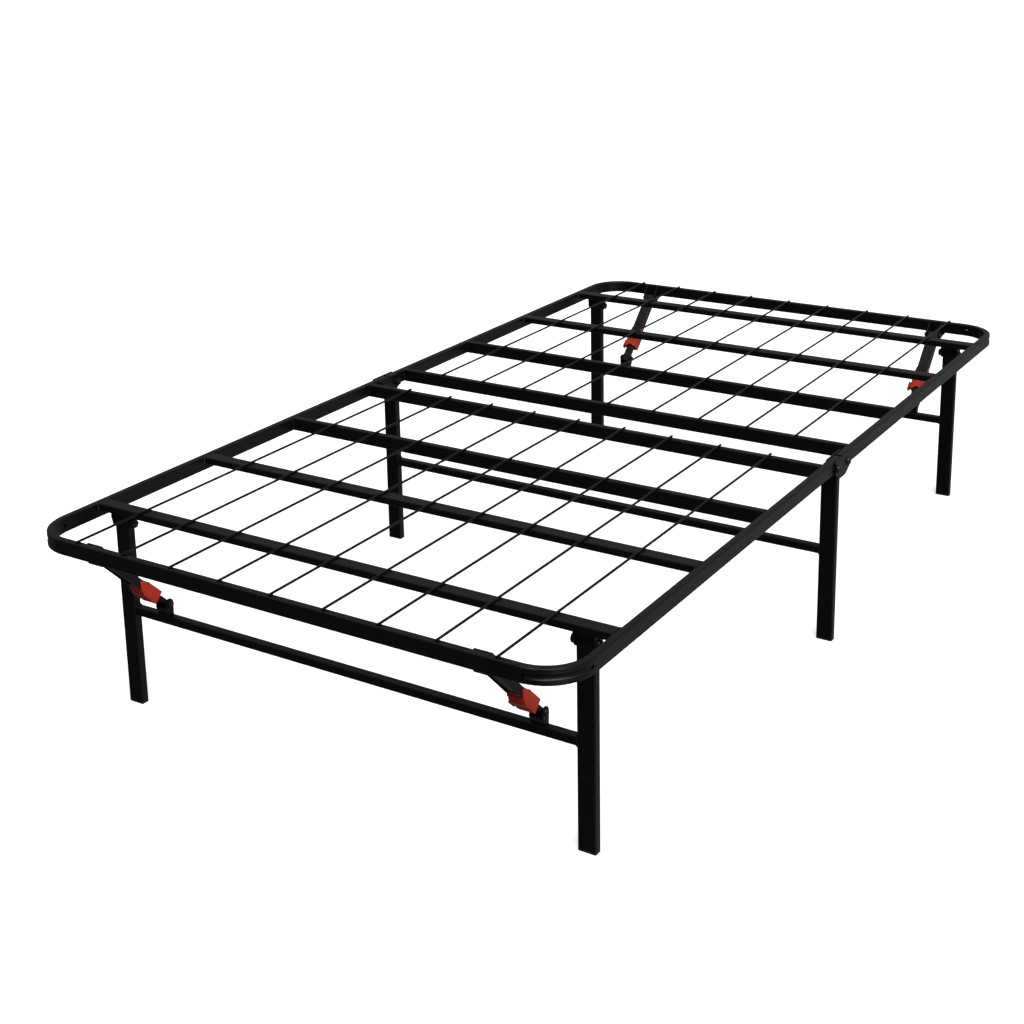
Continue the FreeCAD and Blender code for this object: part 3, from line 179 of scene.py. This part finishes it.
class StudioSettings(PropertyGroup):
    """The camera, the floor and the light."""
    position: FloatVectorProperty(name="Camera position", description="Where the camera stands",
                                  subtype="TRANSLATION", unit="LENGTH", size=3,
                                  default=(1.4555, -2.5902, 1.341))
    heading: FloatProperty(name="Heading", description="Turn of the camera about the vertical",
                           subtype="ANGLE", default=math.radians(32.26))
    dip: FloatProperty(name="Dip", description="How far the camera looks below the horizon",
                       subtype="ANGLE", default=math.radians(14.72))
    roll: FloatProperty(name="Roll", description="Turn of the camera about its own line of sight",
                        subtype="ANGLE", default=math.radians(-1.03))
    lens: FloatProperty(name="Focal length", description="On a sensor 36 mm wide",
                        subtype="DISTANCE_CAMERA", default=57.74)
    shift: FloatProperty(name="Vertical shift", description="Lens shift, as a share of the frame",
                         default=-0.2)
    floor_colour: FloatVectorProperty(name="Floor colour", description="Colour of the floor",
                                      subtype="COLOR", size=3, min=0, max=1,
                                      default=(0.93, 0.93, 0.93))


# ---------------------------------------------------------------- shader maths

class Field:
    """A shader socket used in arithmetic: each operator adds one Math node."""

    def __init__(self, tree, socket):
        self.tree = tree
        self.socket = socket

    def math(self, operation, *terms):
        """The result of one Math node on the terms, in order."""
        node = self.tree.nodes.new("ShaderNodeMath")
        node.operation = operation
        for slot, term in zip(node.inputs, terms):
            connect(self.tree, slot, term)
        return Field(self.tree, node.outputs[0])

    def __add__(self, other):
        return self.math("ADD", self, other)

    def __radd__(self, other):
        return self.math("ADD", other, self)

    def __sub__(self, other):
        return self.math("SUBTRACT", self, other)

    def __rsub__(self, other):
        return self.math("SUBTRACT", other, self)

    def __mul__(self, other):
        return self.math("MULTIPLY", self, other)

    def __rmul__(self, other):
        return self.math("MULTIPLY", other, self)

    def __truediv__(self, other):
        return self.math("DIVIDE", self, other)

    def __rtruediv__(self, other):
        return self.math("DIVIDE", other, self)

    def clamped(self):
        """The value held between 0 and 1."""
        return self.math("MINIMUM", self.math("MAXIMUM", self, 0.0), 1.0)

    def ramp(self, low, high):
        """0 below low and 1 above high, with a straight line between."""
        return ((self - low) / (high - low)).clamped()


def connect(tree, slot, value):
    """Feed a socket from a Field, or set its own value."""
    if isinstance(value, Field):
        tree.links.new(value.socket, slot)
    else:
        slot.default_value = value


class Finish:
    """The nodes of a material, or of the world, made round its last shader."""

    def __init__(self, owner, shader="Principled BSDF", coordinates="Object"):
        self.owner = owner
        self.owner.use_nodes = True
        self.tree = owner.node_tree
        self.shader = self.tree.nodes[shader]
        self.place = self.node("ShaderNodeTexCoord", output=coordinates)

    def node(self, kind, settings=None, inputs=None, output=0):
        """Add a node: its settings first, then the values or links of its sockets."""
        made = self.tree.nodes.new(kind)
        for name, value in (settings or {}).items():
            setattr(made, name, value)
        for name, value in (inputs or {}).items():
            connect(self.tree, made.inputs[name], value)
        return Field(self.tree, made.outputs[output])

    def noise(self, scale, detail=2.0, roughness=0.5, vector=None):
        """Fractal noise, about 0.5, with a scale in cycles per metre."""
        inputs = {"Vector": vector or self.place, "Scale": scale, "Detail": detail,
                  "Roughness": roughness}
        return self.node("ShaderNodeTexNoise", inputs=inputs, output="Fac")

    def stretched(self, x, y, z):
        """Object coordinates scaled by a different amount along each axis."""
        return self.node("ShaderNodeMapping", inputs={"Vector": self.place, "Scale": (x, y, z)})

    def mix(self, mask, low, high):
        """One colour where the mask is 0 and another where it is 1."""
        ends = [end if isinstance(end, Field) else (*end, 1) for end in (low, high)]
        return self.node("ShaderNodeMix", {"data_type": "RGBA"},
                         {"Factor": mask, "A": ends[0], "B": ends[1]}, output="Result")

    def bump(self, height, distance, strength=1.0, under=None):
        """A normal bumped by a height, over another bump if one is given."""
        inputs = {"Height": height, "Distance": distance, "Strength": strength}
        if under:
            inputs["Normal"] = under
        return self.node("ShaderNodeBump", inputs=inputs)

    def facing_up(self):
        """How far the surface faces the ceiling: -1 to 1."""
        normal = self.node("ShaderNodeNewGeometry", output="Normal")
        return self.node("ShaderNodeSeparateXYZ", inputs={"Vector": normal}, output="Z")

    def set(self, **sockets):
        """Feed the shader's sockets, with an underscore for each space in a name."""
        for name, value in sockets.items():
            connect(self.tree, self.shader.inputs[name.replace("_", " ")], value)
        return self.owner


def powder_coat(name, tint=1.0, roughness_shift=0.0, peel=1.0):
    """Black powder coat: orange peel, patchy gloss, fine dust on what faces up."""
    coat = bpy.context.scene.bed_coat
    finish = Finish(bpy.data.materials.new(name))
    peel_scale = 1.0 / coat.peel_size
    bumps = finish.noise(peel_scale, detail=2.5, roughness=0.45)
    grains = finish.noise(peel_scale * 5.2, detail=1.0)
    patches = finish.noise(9.0, detail=3.0)
    clouds = finish.noise(38.0, detail=4.0, roughness=0.6)
    dust_specks = finish.noise(900.0, detail=1.0).ramp(0.66, 0.74)
    dust = dust_specks * finish.facing_up().ramp(0.6, 0.95) * clouds.ramp(0.35, 0.7)
    scuffs = finish.noise(1.0, detail=3.0, vector=finish.stretched(60, 14, 60)).ramp(0.62, 0.7)
    base = Vector(coat.colour) * tint
    grey = base * 1.7 + Vector((0.001, 0.001, 0.001))
    colour = finish.mix(clouds * 0.35 + grains * 0.15, base, grey)
    colour = finish.mix(dust * 0.08, colour, (0.1, 0.096, 0.09))
    roughness = coat.roughness + roughness_shift - 0.07
    roughness = patches * 0.1 + clouds * 0.08 + roughness + scuffs * 0.07 + dust * 0.1
    fine = finish.bump(grains, 0.012 * MM)
    normal = finish.bump(bumps, coat.peel_height * peel, under=fine)
    return finish.set(Base_Color=colour, Roughness=roughness, Normal=normal,
                      Specular_IOR_Level=0.22)


def blackened_steel(name):
    """Blackened bolts and nuts: a thin oxide with turning marks and rubbed high spots."""
    finish = Finish(bpy.data.materials.new(name))
    turning = finish.noise(1.0, detail=2.0, vector=finish.stretched(2600, 500, 500))
    rubbed = finish.noise(420.0, detail=3.0).ramp(0.56, 0.72)
    colour = finish.mix(rubbed * 0.5, (0.012, 0.012, 0.013), (0.06, 0.058, 0.055))
    roughness = turning * 0.2 + 0.26 + rubbed * 0.1
    return finish.set(Base_Color=colour, Metallic=rubbed * 0.5 + 0.3, Roughness=roughness,
                      Normal=finish.bump(turning, 0.02 * MM))


def spring_wire(name):
    """Bright drawn wire with fine lengthwise scratches."""
    finish = Finish(bpy.data.materials.new(name))
    drawn = finish.noise(1.0, detail=2.0, vector=finish.stretched(300, 3000, 3000))
    colour = finish.mix(drawn, (0.42, 0.42, 0.43), (0.62, 0.62, 0.62))
    return finish.set(Base_Color=colour, Metallic=1.0, Roughness=drawn * 0.15 + 0.22,
                      Normal=finish.bump(drawn, 0.01 * MM))


def latch_plastic(name):
    """Red moulded plastic: faint flow lines, a fine spark texture and scuffed high spots."""
    plastic = bpy.context.scene.bed_plastic
    finish = Finish(bpy.data.materials.new(name))
    flow = finish.noise(60.0, detail=3.0, roughness=0.55)
    spark = finish.noise(2800.0, detail=2.0)
    scuffs = finish.noise(1.0, detail=4.0, vector=finish.stretched(900, 160, 160)).ramp(0.6, 0.72)
    base = Vector(plastic.latch_colour)
    colour = finish.mix(flow.ramp(0.35, 0.7), base * 0.82, base * 1.08)
    colour = finish.mix(scuffs * 0.2, colour, (0.6, 0.1, 0.06))
    roughness = plastic.latch_roughness - 0.05 + flow * 0.12 + scuffs * 0.12
    normal = finish.bump(spark, 0.03 * MM, 0.7)
    return finish.set(Base_Color=colour, Roughness=roughness, Normal=normal,
                      Specular_IOR_Level=0.3)


def foot_plastic(name):
    """Black foot caps: matt moulded plastic, greyed by the floor near their soles."""
    plastic = bpy.context.scene.bed_plastic
    finish = Finish(bpy.data.materials.new(name))
    height = finish.node("ShaderNodeSeparateXYZ", inputs={"Vector": finish.place}, output="Z")
    low = 1 - height.ramp(0.0, 6 * MM)
    grain = finish.noise(1900.0, detail=3.0)
    smears = finish.noise(140.0, detail=4.0)
    base = Vector(plastic.foot_colour)
    colour = finish.mix(low * smears * 0.3 + grain * 0.1, base, (0.06, 0.058, 0.055))
    return finish.set(Base_Color=colour, Roughness=smears * 0.2 + 0.5,
                      Normal=finish.bump(grain, 0.05 * MM))


# ---------------------------------------------------------------- modelling helpers

def deselect_all():
    """Leave nothing selected."""
    for thing in bpy.context.selected_objects:
        thing.select_set(False)


def pick(thing):
    """Make one object the only one selected, and the active one."""
    deselect_all()
    thing.select_set(True)
    bpy.context.view_layer.objects.active = thing


def apply_modifier(thing, kind, **settings):
    """Add a modifier with its settings and apply it."""
    modifier = thing.modifiers.new(kind.title(), kind)
    for name, value in settings.items():
        setattr(modifier, name, value)
    pick(thing)
    bpy.ops.object.modifier_apply(modifier=modifier.name)


def give_finish(thing, material):
    """Make a material the only one on a piece."""
    thing.data.materials.clear()
    thing.data.materials.append(material)


def placed_copy(name, pattern, place):
    """A copy of a pattern with its own mesh, carried to its place."""
    copy = pattern.copy()
    copy.data = pattern.data.copy()
    copy.name = copy.data.name = name
    copy.data.transform(place)
    if place.determinant() < 0:
        copy.data.flip_normals()
    bpy.context.scene.collection.objects.link(copy)
    return copy


def copies_joined(name, pattern, places):
    """One object made of a copy of the pattern at each place, and the pattern removed."""
    copies = [placed_copy(name, pattern, place) for place in places]
    bpy.data.objects.remove(pattern)
    deselect_all()
    for copy in copies:
        copy.select_set(True)
    bpy.context.view_layer.objects.active = copies[0]
    bpy.ops.object.join()
    joined = bpy.context.view_layer.objects.active
    joined.name = joined.data.name = name
    return joined


def add_piece(piece, body, material):
    """Hand a finished piece to the frame: its body and its finish."""
    if not piece.data.polygons:
        raise RuntimeError(f"{piece.name} has no faces")
    give_finish(piece, material)
    pick(piece)
    bpy.ops.object.shade_smooth_by_angle(angle=math.radians(40))
    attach(piece, body)


def add_box(name, low, high):
    """A box between two corners, with its place and size in its mesh."""
    low, high = Vector(low), Vector(high)
    deselect_all()
    bpy.ops.mesh.primitive_cube_add(size=1, location=(low + high) / 2, scale=high - low)
    bpy.ops.object.transform_apply(location=True, rotation=False, scale=True)
    box = bpy.context.active_object
    box.name = name
    return box


def add_rod(name, centre, radius, length):
    """A cylinder along Y about a centre, with its place in its mesh."""
    deselect_all()
    bpy.ops.mesh.primitive_cylinder_add(vertices=40, radius=radius, depth=length,
                                        location=centre, rotation=(math.pi / 2, 0, 0))
    bpy.ops.object.transform_apply(location=True, rotation=True, scale=True)
    rod = bpy.context.active_object
    rod.name = name
    return rod


def combine(thing, tool, operation):
    """Cut the tool from a piece, or join it on, and remove the tool."""
    apply_modifier(thing, "BOOLEAN", operation=operation, solver="EXACT", object=tool)
    bpy.data.objects.remove(tool)


def select_where(thing, kind, wanted):
    """In edit mode, select the vertices or faces that wanted picks by their centre."""
    pick(thing)
    bpy.ops.object.mode_set(mode="EDIT")
    bpy.ops.mesh.select_mode(type="VERT" if kind == "vertices" else "FACE")
    bpy.ops.mesh.select_all(action="DESELECT")
    bpy.ops.object.mode_set(mode="OBJECT")
    parts = getattr(thing.data, kind)
    for part in parts:
        part.select = wanted(part.co if kind == "vertices" else part.center)
    if not any(part.select for part in parts):
        raise RuntimeError(f"{thing.name} has none of the {kind} to select")
    bpy.ops.object.mode_set(mode="EDIT")


def shift_where(thing, wanted, step):
    """Move the vertices that wanted picks."""
    select_where(thing, "vertices", wanted)
    bpy.ops.transform.translate(value=step)
    bpy.ops.object.mode_set(mode="OBJECT")


def slice_at(thing, axis, places):
    """Cut edges right round a piece at places along one axis."""
    pick(thing)
    bpy.ops.object.mode_set(mode="EDIT")
    for place in places:
        point, normal = [0.0] * 3, [0.0] * 3
        point[axis], normal[axis] = place, 1.0
        bpy.ops.mesh.select_all(action="SELECT")
        bpy.ops.mesh.bisect(plane_co=point, plane_no=normal)
    bpy.ops.object.mode_set(mode="OBJECT")


def sink_grooves(thing, bands, on_face, depth):
    """Sink a groove between each pair of heights, in millimetres, on the face given."""
    for low, high in bands:
        middle = (low + high) / 2 * MM
        select_where(thing, "polygons", lambda c: on_face(c) and abs(c.z - middle) < MM / 2)
        bpy.ops.mesh.inset(thickness=RIB_MARGIN, depth=-depth, use_individual=True)
        bpy.ops.object.mode_set(mode="OBJECT")


def combine_boxes(thing, boxes, operation):
    """Cut boxes from a piece, or join them on, each given by two corners in millimetres."""
    for name, corners in boxes.items():
        low, high = ([place * MM for place in corner] for corner in corners)
        combine(thing, add_box(name, low, high), operation)


def soften_edges(thing, width):
    """Round every crease of a moulded piece."""
    apply_modifier(thing, "BEVEL", width=width, segments=3, limit_method="ANGLE",
                   angle_limit=math.radians(28), use_clamp_overlap=True)


def brace_places():
    """For each brace: its half, its side, and the matrix that carries a drawn latch to it."""
    pivots = {joint["name"]: Vector(joint["pos_m"]) for joint in frame["joints"]
              if "pos_m" in joint}
    for half, turn in HALVES.items():
        for side in SIDES:
            upper = pivots[f"{half}_brace_{side}_swing"]
            along = (pivots[f"{half}_link_{side}_swing"] - upper).normalized()
            across = Vector((-turn, 0, 0))
            outward = along.cross(across)
            axes = Matrix((across, outward, along)).transposed().to_4x4()
            flip = Matrix.Scale(-turn, 4, (1, 0, 0))
            yield half, side, Matrix.Translation(upper) @ axes @ flip


def mark_upright_edges(thing, wide, deep):
    """Give the four upright corner edges of a cap a full bevel weight."""
    weights = thing.data.attributes.new("bevel_weight_edge", "FLOAT", "EDGE")
    near = MM / 10
    for edge in thing.data.edges:
        first, second = (thing.data.vertices[number].co for number in edge.vertices)
        at_corner = abs(abs(first.x) - wide / 2) < near and abs(abs(first.y) - deep / 2) < near
        upright = (first - second).to_2d().length < near
        weights.data[edge.index].value = 1.0 if at_corner and upright else 0.0


def weld_bead(length, radius, ripple):
    """A bead along Z, centred on the origin: a thin rod cut into rings and rippled."""
    deselect_all()
    bpy.ops.mesh.primitive_cylinder_add(vertices=10, radius=radius, depth=length)
    bead = bpy.context.active_object
    rings = max(4, round(length / ripple) * 2)
    step = length / rings
    slice_at(bead, 2, [step * ring - length / 2 for ring in range(1, rings)])
    middle = Vector((0, 0, 0))
    narrowings = ((0.84, range(0, rings + 1, 2)), (0.55, (0, rings)))
    for share, narrowed in narrowings:
        select_where(bead, "vertices", lambda co: round((co.z + length / 2) / step) in narrowed)
        bpy.ops.transform.resize(value=(share, share, 1), center_override=middle)
        bpy.ops.object.mode_set(mode="OBJECT")
    return bead


def weld_spot(width, height):
    """A low button of weld about the origin, raised in two steps toward its middle."""
    deselect_all()
    bpy.ops.mesh.primitive_cylinder_add(vertices=12, radius=width / 2, depth=height)
    spot = bpy.context.active_object
    select_where(spot, "polygons", lambda c: c.z > height * 0.4)
    rim = width * 0.16
    bpy.ops.mesh.inset(thickness=rim, depth=height * 0.3)
    bpy.ops.mesh.inset(thickness=rim, depth=height * 0.15)
    bpy.ops.object.mode_set(mode="OBJECT")
    return spot


MATERIALS = {}


def finish_for(slot):
    """The material of a slot, made the first time that it is asked for."""
    makers = {
        "rail_coat": powder_coat,
        "slat_coat": lambda name: powder_coat(name, tint=0.95, roughness_shift=0.02),
        "wire_coat": lambda name: powder_coat(name, tint=0.85, roughness_shift=-0.06, peel=0.5),
        "leg_coat": lambda name: powder_coat(name, tint=0.9, roughness_shift=0.02),
        "brace_coat": lambda name: powder_coat(name, tint=1.5, roughness_shift=0.05),
        "plate_coat": lambda name: powder_coat(name, tint=0.9, roughness_shift=0.03),
        "bolt_steel": blackened_steel,
        "spring_steel": spring_wire,
        "foot_plastic": foot_plastic,
        "latch_plastic": latch_plastic,
    }
    if slot not in MATERIALS:
        MATERIALS[slot] = makers[slot](slot)
    return MATERIALS[slot]


# ---------------------------------------------------------------- operators

class FinishNodes(Operator):
    """Give every CAD piece the finish of its slot"""
    bl_idname = "bed.finish_nodes"
    bl_label = "Finish the steel and plastic"

    def execute(self, context):
        for entry in RECORD["subparts"]:
            node = frame["nodes"][entry["node"]]
            material = finish_for(entry["material_slot"])
            if not node.material_slots:
                node.data.materials.append(material)
            for slot in node.material_slots:
                slot.material = material
        return {"FINISHED"}


class LatchHousings(Operator):
    """Mould the four red latch housings on the lower ends of the channels"""
    bl_idname = "bed.latch_housings"
    bl_label = "Mould the latch housings"

    def execute(self, context):
        block = add_box("latch_pattern", (-HOUSING_HALF, -HOUSING_FACE, HOUSING_START),
                        (HOUSING_HALF, HOUSING_FACE, HOUSING_END))
        rib_edges = [place * MM for band in HOUSING_RIBS for place in band]
        slice_at(block, 2, [LID_FOOT, LID_START, *rib_edges])
        slice_at(block, 1, [CHEEK_LINE])
        self.shape_upper_end(block)
        shift_where(block, lambda co: co.y > 0 and co.z > LID_START - MM / 2,
                    (0, LID_FACE - HOUSING_FACE, 0))
        sink_grooves(block, HOUSING_RIBS, lambda c: c.y > LID_FACE - MM / 2,
                     HOUSING_RIB_DEPTH)
        combine_boxes(block, HOUSING_ROOMS, "DIFFERENCE")
        combine(block, add_rod("arch", ARCH_CENTRE, ARCH_RADIUS, ARCH_DEPTH), "DIFFERENCE")
        combine(block, self.tongue(), "UNION")
        soften_edges(block, HOUSING_ROUND)
        plastic = finish_for("latch_plastic")
        for half, side_name, place in brace_places():
            piece = placed_copy(f"{half}_latch_shell_{side_name}", block, place)
            add_piece(piece, f"{half}_brace_{side_name}", plastic)
            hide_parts(f"{half}_latch_housing_{side_name}")
        bpy.data.objects.remove(block)
        return {"FINISHED"}

    @staticmethod
    def shape_upper_end(block):
        """Draw the cheeks up beside the channel, and set the back of the block lower."""
        def at_start(co):
            return co.z < HOUSING_START + MM
        shift_where(block, lambda co: at_start(co) and abs(co.y - CHEEK_LINE) < MM,
                    (0, 0, -CHEEK_REACH))
        shift_where(block, lambda co: at_start(co) and co.y < CHEEK_LINE - MM,
                    (0, 0, BACK_STEP))

    @staticmethod
    def tongue():
        """The tapered tongue that runs up inside the channel."""
        tongue = add_box("tongue", TONGUE_LOW, TONGUE_HIGH)
        tip, outer = TONGUE_LOW[2] + MM, TONGUE_HIGH[1] - MM
        shift_where(tongue, lambda co: co.z < tip and co.y > outer, (0, -TONGUE_TAPER, 0))
        return tongue


class LatchKeys(Operator):
    """Mould the four red push keys with their ribbed finger wings"""
    bl_idname = "bed.latch_keys"
    bl_label = "Mould the latch keys"

    def execute(self, context):
        wing = add_box("key_pattern", WING_LOW, WING_HIGH)
        slice_at(wing, 2, [place * MM for band in WING_RIBS for place in band])
        middle = (WING_LOW[0] + WING_HIGH[0]) / 2
        upper, lower = WING_TAPER
        shift_where(wing, lambda co: co.x > middle and co.z > WING_HIGH[2] - MM, (0, 0, -lower))
        shift_where(wing, lambda co: co.x > middle and co.z < WING_LOW[2] + MM, (0, 0, upper))
        sink_grooves(wing, WING_RIBS, lambda c: c.x < WING_LOW[0] + MM / 10,
                     WING_RIB_DEPTH)
        combine_boxes(wing, KEY_PARTS, "UNION")
        soften_edges(wing, KEY_ROUND)
        plastic = finish_for("latch_plastic")
        for half, side_name, place in brace_places():
            piece = placed_copy(f"{half}_latch_button_{side_name}", wing, place)
            add_piece(piece, f"{half}_key_{side_name}", plastic)
            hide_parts(f"{half}_latch_key_{side_name}")
        bpy.data.objects.remove(wing)
        return {"FINISHED"}


class FootCaps(Operator):
    """Mould the black feet under all six legs"""
    bl_idname = "bed.foot_caps"
    bl_label = "Mould the feet"

    def execute(self, context):
        caps = {"centre_foot_caps": ("centre_stand", ["centre_leg_left", "centre_leg_right"])}
        for half in HALVES:
            legs = [f"{half}_leg_{side}" for side in SIDES]
            caps[f"{half}_leg_foot_caps"] = (f"{half}_legs", legs)
        for node, (body, legs) in caps.items():
            low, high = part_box(legs[0])
            pattern = self.cap(high.x - low.x, high.y - low.y, low.z)
            places = []
            for leg in legs:
                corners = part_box(leg)
                spot = (corners[0] + corners[1]) / 2
                places.append(Matrix.Translation((spot.x, spot.y, 0)))
            piece = copies_joined(f"{node}_moulded", pattern, places)
            add_piece(piece, body, finish_for("foot_plastic"))
            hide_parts(node)
        return {"FINISHED"}

    @staticmethod
    def cap(wide, deep, top):
        """A cap on the floor with a plug on top, a recessed sole and round upright corners."""
        cap = add_box("cap_pattern", (-wide / 2, -deep / 2, 0), (wide / 2, deep / 2, top))
        select_where(cap, "polygons", lambda c: c.z > top - MM / 10)
        bpy.ops.mesh.inset(thickness=CAP_WALL)
        bpy.ops.mesh.extrude_region_move(TRANSFORM_OT_translate={"value": (0, 0, CAP_PLUG)})
        bpy.ops.object.mode_set(mode="OBJECT")
        select_where(cap, "polygons", lambda c: c.z < MM / 10)
        bpy.ops.mesh.inset(thickness=SOLE_RIM, depth=-SOLE_DEPTH)
        bpy.ops.object.mode_set(mode="OBJECT")
        mark_upright_edges(cap, wide, deep)
        apply_modifier(cap, "BEVEL", width=CAP_CORNER, segments=5, limit_method="WEIGHT",
                       use_clamp_overlap=True)
        return cap


class SlatWelds(Operator):
    """Run a bead down both faces of every slat where it meets the side rails"""
    bl_idname = "bed.slat_welds"
    bl_label = "Weld the slats"

    def execute(self, context):
        weld = context.scene.bed_weld
        for half in HALVES:
            slats = [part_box(f"{half}_slat_{number}") for number in SLATS]
            longest = max(high.z - low.z for low, high in slats)
            bead = weld_bead(longest, weld.bead_radius, weld.ripple)
            places = []
            for low, high in slats:
                share = (high.z - low.z) * SLAT_BEAD_SHARE / longest
                middle = (high.z + low.z) / 2
                for x in (low.x, high.x):
                    for y in (low.y, high.y):
                        squeeze = Matrix.Diagonal((1, 1, share, 1))
                        turn = Matrix.Rotation(math.pi / 2 if x > 0 else 0, 4, "Z")
                        places.append(Matrix.Translation((x, y, middle)) @ turn @ squeeze)
            piece = copies_joined(f"{half}_slat_weld_beads", bead, places)
            add_piece(piece, f"{half}_deck", finish_for("rail_coat"))
        return {"FINISHED"}


class WireWelds(Operator):
    """Put a low button of weld under each wire, at the end rail and at every slat"""
    bl_idname = "bed.wire_welds"
    bl_label = "Weld the wires"

    def execute(self, context):
        weld = context.scene.bed_weld
        for half, side in HALVES.items():
            low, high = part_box(f"{half}_deck_wires")
            wire = high.z - low.z
            step = (high.x - low.x - wire) / (WIRES - 1)
            slats = [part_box(f"{half}_slat_{number}") for number in SLATS]
            lines = [(start.y + end.y) / 2 for start, end in slats]
            lines.append(side * (max(abs(low.y), abs(high.y)) - END_SPOT_INSET * wire))
            spot = weld_spot(weld.spot_width, weld.spot_height)
            foot = low.z + weld.spot_height * 0.3
            places = []
            for number in range(WIRES):
                x = low.x + wire / 2 + step * number
                for y in lines:
                    places.append(Matrix.Translation((x, y, foot)) @ SPOT_STRETCH)
            piece = copies_joined(f"{half}_wire_weld_spots", spot, places)
            add_piece(piece, f"{half}_deck", finish_for("wire_coat"))
        return {"FINISHED"}


class LegWelds(Operator):
    """Run a bead round both ends of each cross tube"""
    bl_idname = "bed.leg_welds"
    bl_label = "Weld the cross tubes"

    def execute(self, context):
        weld = context.scene.bed_weld
        tubes = {"centre_cross_tube": "centre_stand"}
        for half in HALVES:
            tubes[f"{half}_leg_cross_tube"] = f"{half}_legs"
        for node, body in tubes.items():
            low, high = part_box(node)
            size = high.z - low.z
            bead = weld_bead(size * LEG_BEAD_SHARE, weld.bead_radius, weld.ripple)
            middle_y, middle_z = (low.y + high.y) / 2, (low.z + high.z) / 2
            places = []
            for x in (low.x, high.x):
                for quarter in range(4):
                    turn = Matrix.Rotation(quarter * math.pi / 2, 4, "X")
                    across = Matrix.Translation((0, size / 2, 0))
                    places.append(Matrix.Translation((x, middle_y, middle_z)) @ turn @ across)
            piece = copies_joined(f"{node}_weld_beads", bead, places)
            add_piece(piece, body, finish_for("leg_coat"))
        return {"FINISHED"}


def studio_world():
    """A room that is paler toward the head and the right, with one soft panel low on the right.

    The camera itself sees white all round."""
    paint = Finish(bpy.data.worlds.new("studio_world"), "Background", "Generated")

    def toward(direction):
        """How nearly a ray of the room points along a direction."""
        return paint.node("ShaderNodeVectorMath", {"operation": "DOT_PRODUCT"},
                          {0: paint.place, 1: direction}, output="Value")

    wall = toward(WALL_SIDE).ramp(-0.9, 0.9) * WALL_LIGHT
    panel = toward(PANEL_SIDE).ramp(0.93, 0.985) * PANEL_LIGHT
    seen = paint.node("ShaderNodeLightPath", output="Is Camera Ray")
    return paint.set(Color=(1, 1, 1, 1), Strength=(1 - seen) * (wall + panel + ROOM_LIGHT) + seen)


class Studio(Operator):
    """Set up the floor, the soft light and the camera"""
    bl_idname = "bed.studio"
    bl_label = "Set up the studio"

    def execute(self, context):
        studio = context.scene.bed_studio
        bpy.ops.mesh.primitive_circle_add(vertices=96, radius=FLOOR_RADIUS, fill_type="NGON")
        floor = bpy.context.active_object
        floor.name = "studio_floor"
        paint = Finish(bpy.data.materials.new("studio_floor"))
        cloud = paint.noise(1.3, detail=2.0)
        base = Vector(studio.floor_colour)
        give_finish(floor, paint.set(Base_Color=paint.mix(cloud, base, base * 0.985),
                                     Roughness=0.9, Specular_IOR_Level=0.0,
                                     Emission_Color=(1, 1, 1, 1),
                                     Emission_Strength=FLOOR_GLOW))
        floor.visible_glossy = False
        floor.visible_diffuse = False

        camera_data = bpy.data.cameras.new("studio_camera")
        camera_data.lens = studio.lens
        camera_data.shift_y = studio.shift
        camera_data.clip_end = 200
        camera = bpy.data.objects.new("studio_camera", camera_data)
        turn = Matrix.Rotation(studio.heading, 4, "Z")
        turn = turn @ Matrix.Rotation(math.pi / 2 - studio.dip, 4, "X")
        turn = turn @ Matrix.Rotation(studio.roll, 4, "Z")
        camera.matrix_world = Matrix.Translation(studio.position) @ turn
        context.scene.collection.objects.link(camera)
        context.scene.camera = camera

        for name, (strength, width, angles) in SUNS.items():
            data = bpy.data.lights.new(f"studio_{name}", "SUN")
            data.energy = strength
            data.angle = math.radians(width)
            sun = bpy.data.objects.new(f"studio_{name}", data)
            sun.rotation_euler = Euler([math.radians(angle) for angle in angles])
            context.scene.collection.objects.link(sun)

        context.scene.world = studio_world()
        context.scene.view_settings.view_transform = "Standard"
        return {"FINISHED"}


class FramePanel(Panel):
    """Lists the steps that finish the bed frame"""
    bl_idname = "VIEW3D_PT_bed_frame"
    bl_label = "Bed Frame"
    bl_space_type = "VIEW_3D"
    bl_region_type = "UI"
    bl_category = "Bed Frame"

    def draw(self, context):
        scene = context.scene
        for settings in (scene.bed_coat, scene.bed_weld, scene.bed_plastic, scene.bed_studio):
            box = self.layout.box()
            for name in type(settings).__annotations__:
                box.prop(settings, name)
        for step in STEPS:
            self.layout.operator(step.bl_idname)


SETTINGS = {"bed_coat": CoatSettings, "bed_weld": WeldSettings, "bed_plastic": PlasticSettings,
            "bed_studio": StudioSettings}
STEPS = (FinishNodes, LatchHousings, LatchKeys, FootCaps, SlatWelds, WireWelds, LegWelds, Studio)


def register():
    """Add the settings, the steps and the panel to Blender."""
    for group in SETTINGS.values():
        bpy.utils.register_class(group)
    for step in STEPS:
        bpy.utils.register_class(step)
    bpy.utils.register_class(FramePanel)
    for name, group in SETTINGS.items():
        setattr(bpy.types.Scene, name, PointerProperty(type=group))


def unregister():
    """Take everything out again, in the reverse order."""
    for name in SETTINGS:
        delattr(bpy.types.Scene, name)
    for thing in (FramePanel, *reversed(STEPS), *reversed(SETTINGS.values())):
        bpy.utils.unregister_class(thing)


def main():
    """Run every step."""
    register()
    for step in STEPS:
        module, name = step.bl_idname.split(".")
        getattr(getattr(bpy.ops, module), name)()


if __name__ == "__main__":
    main()
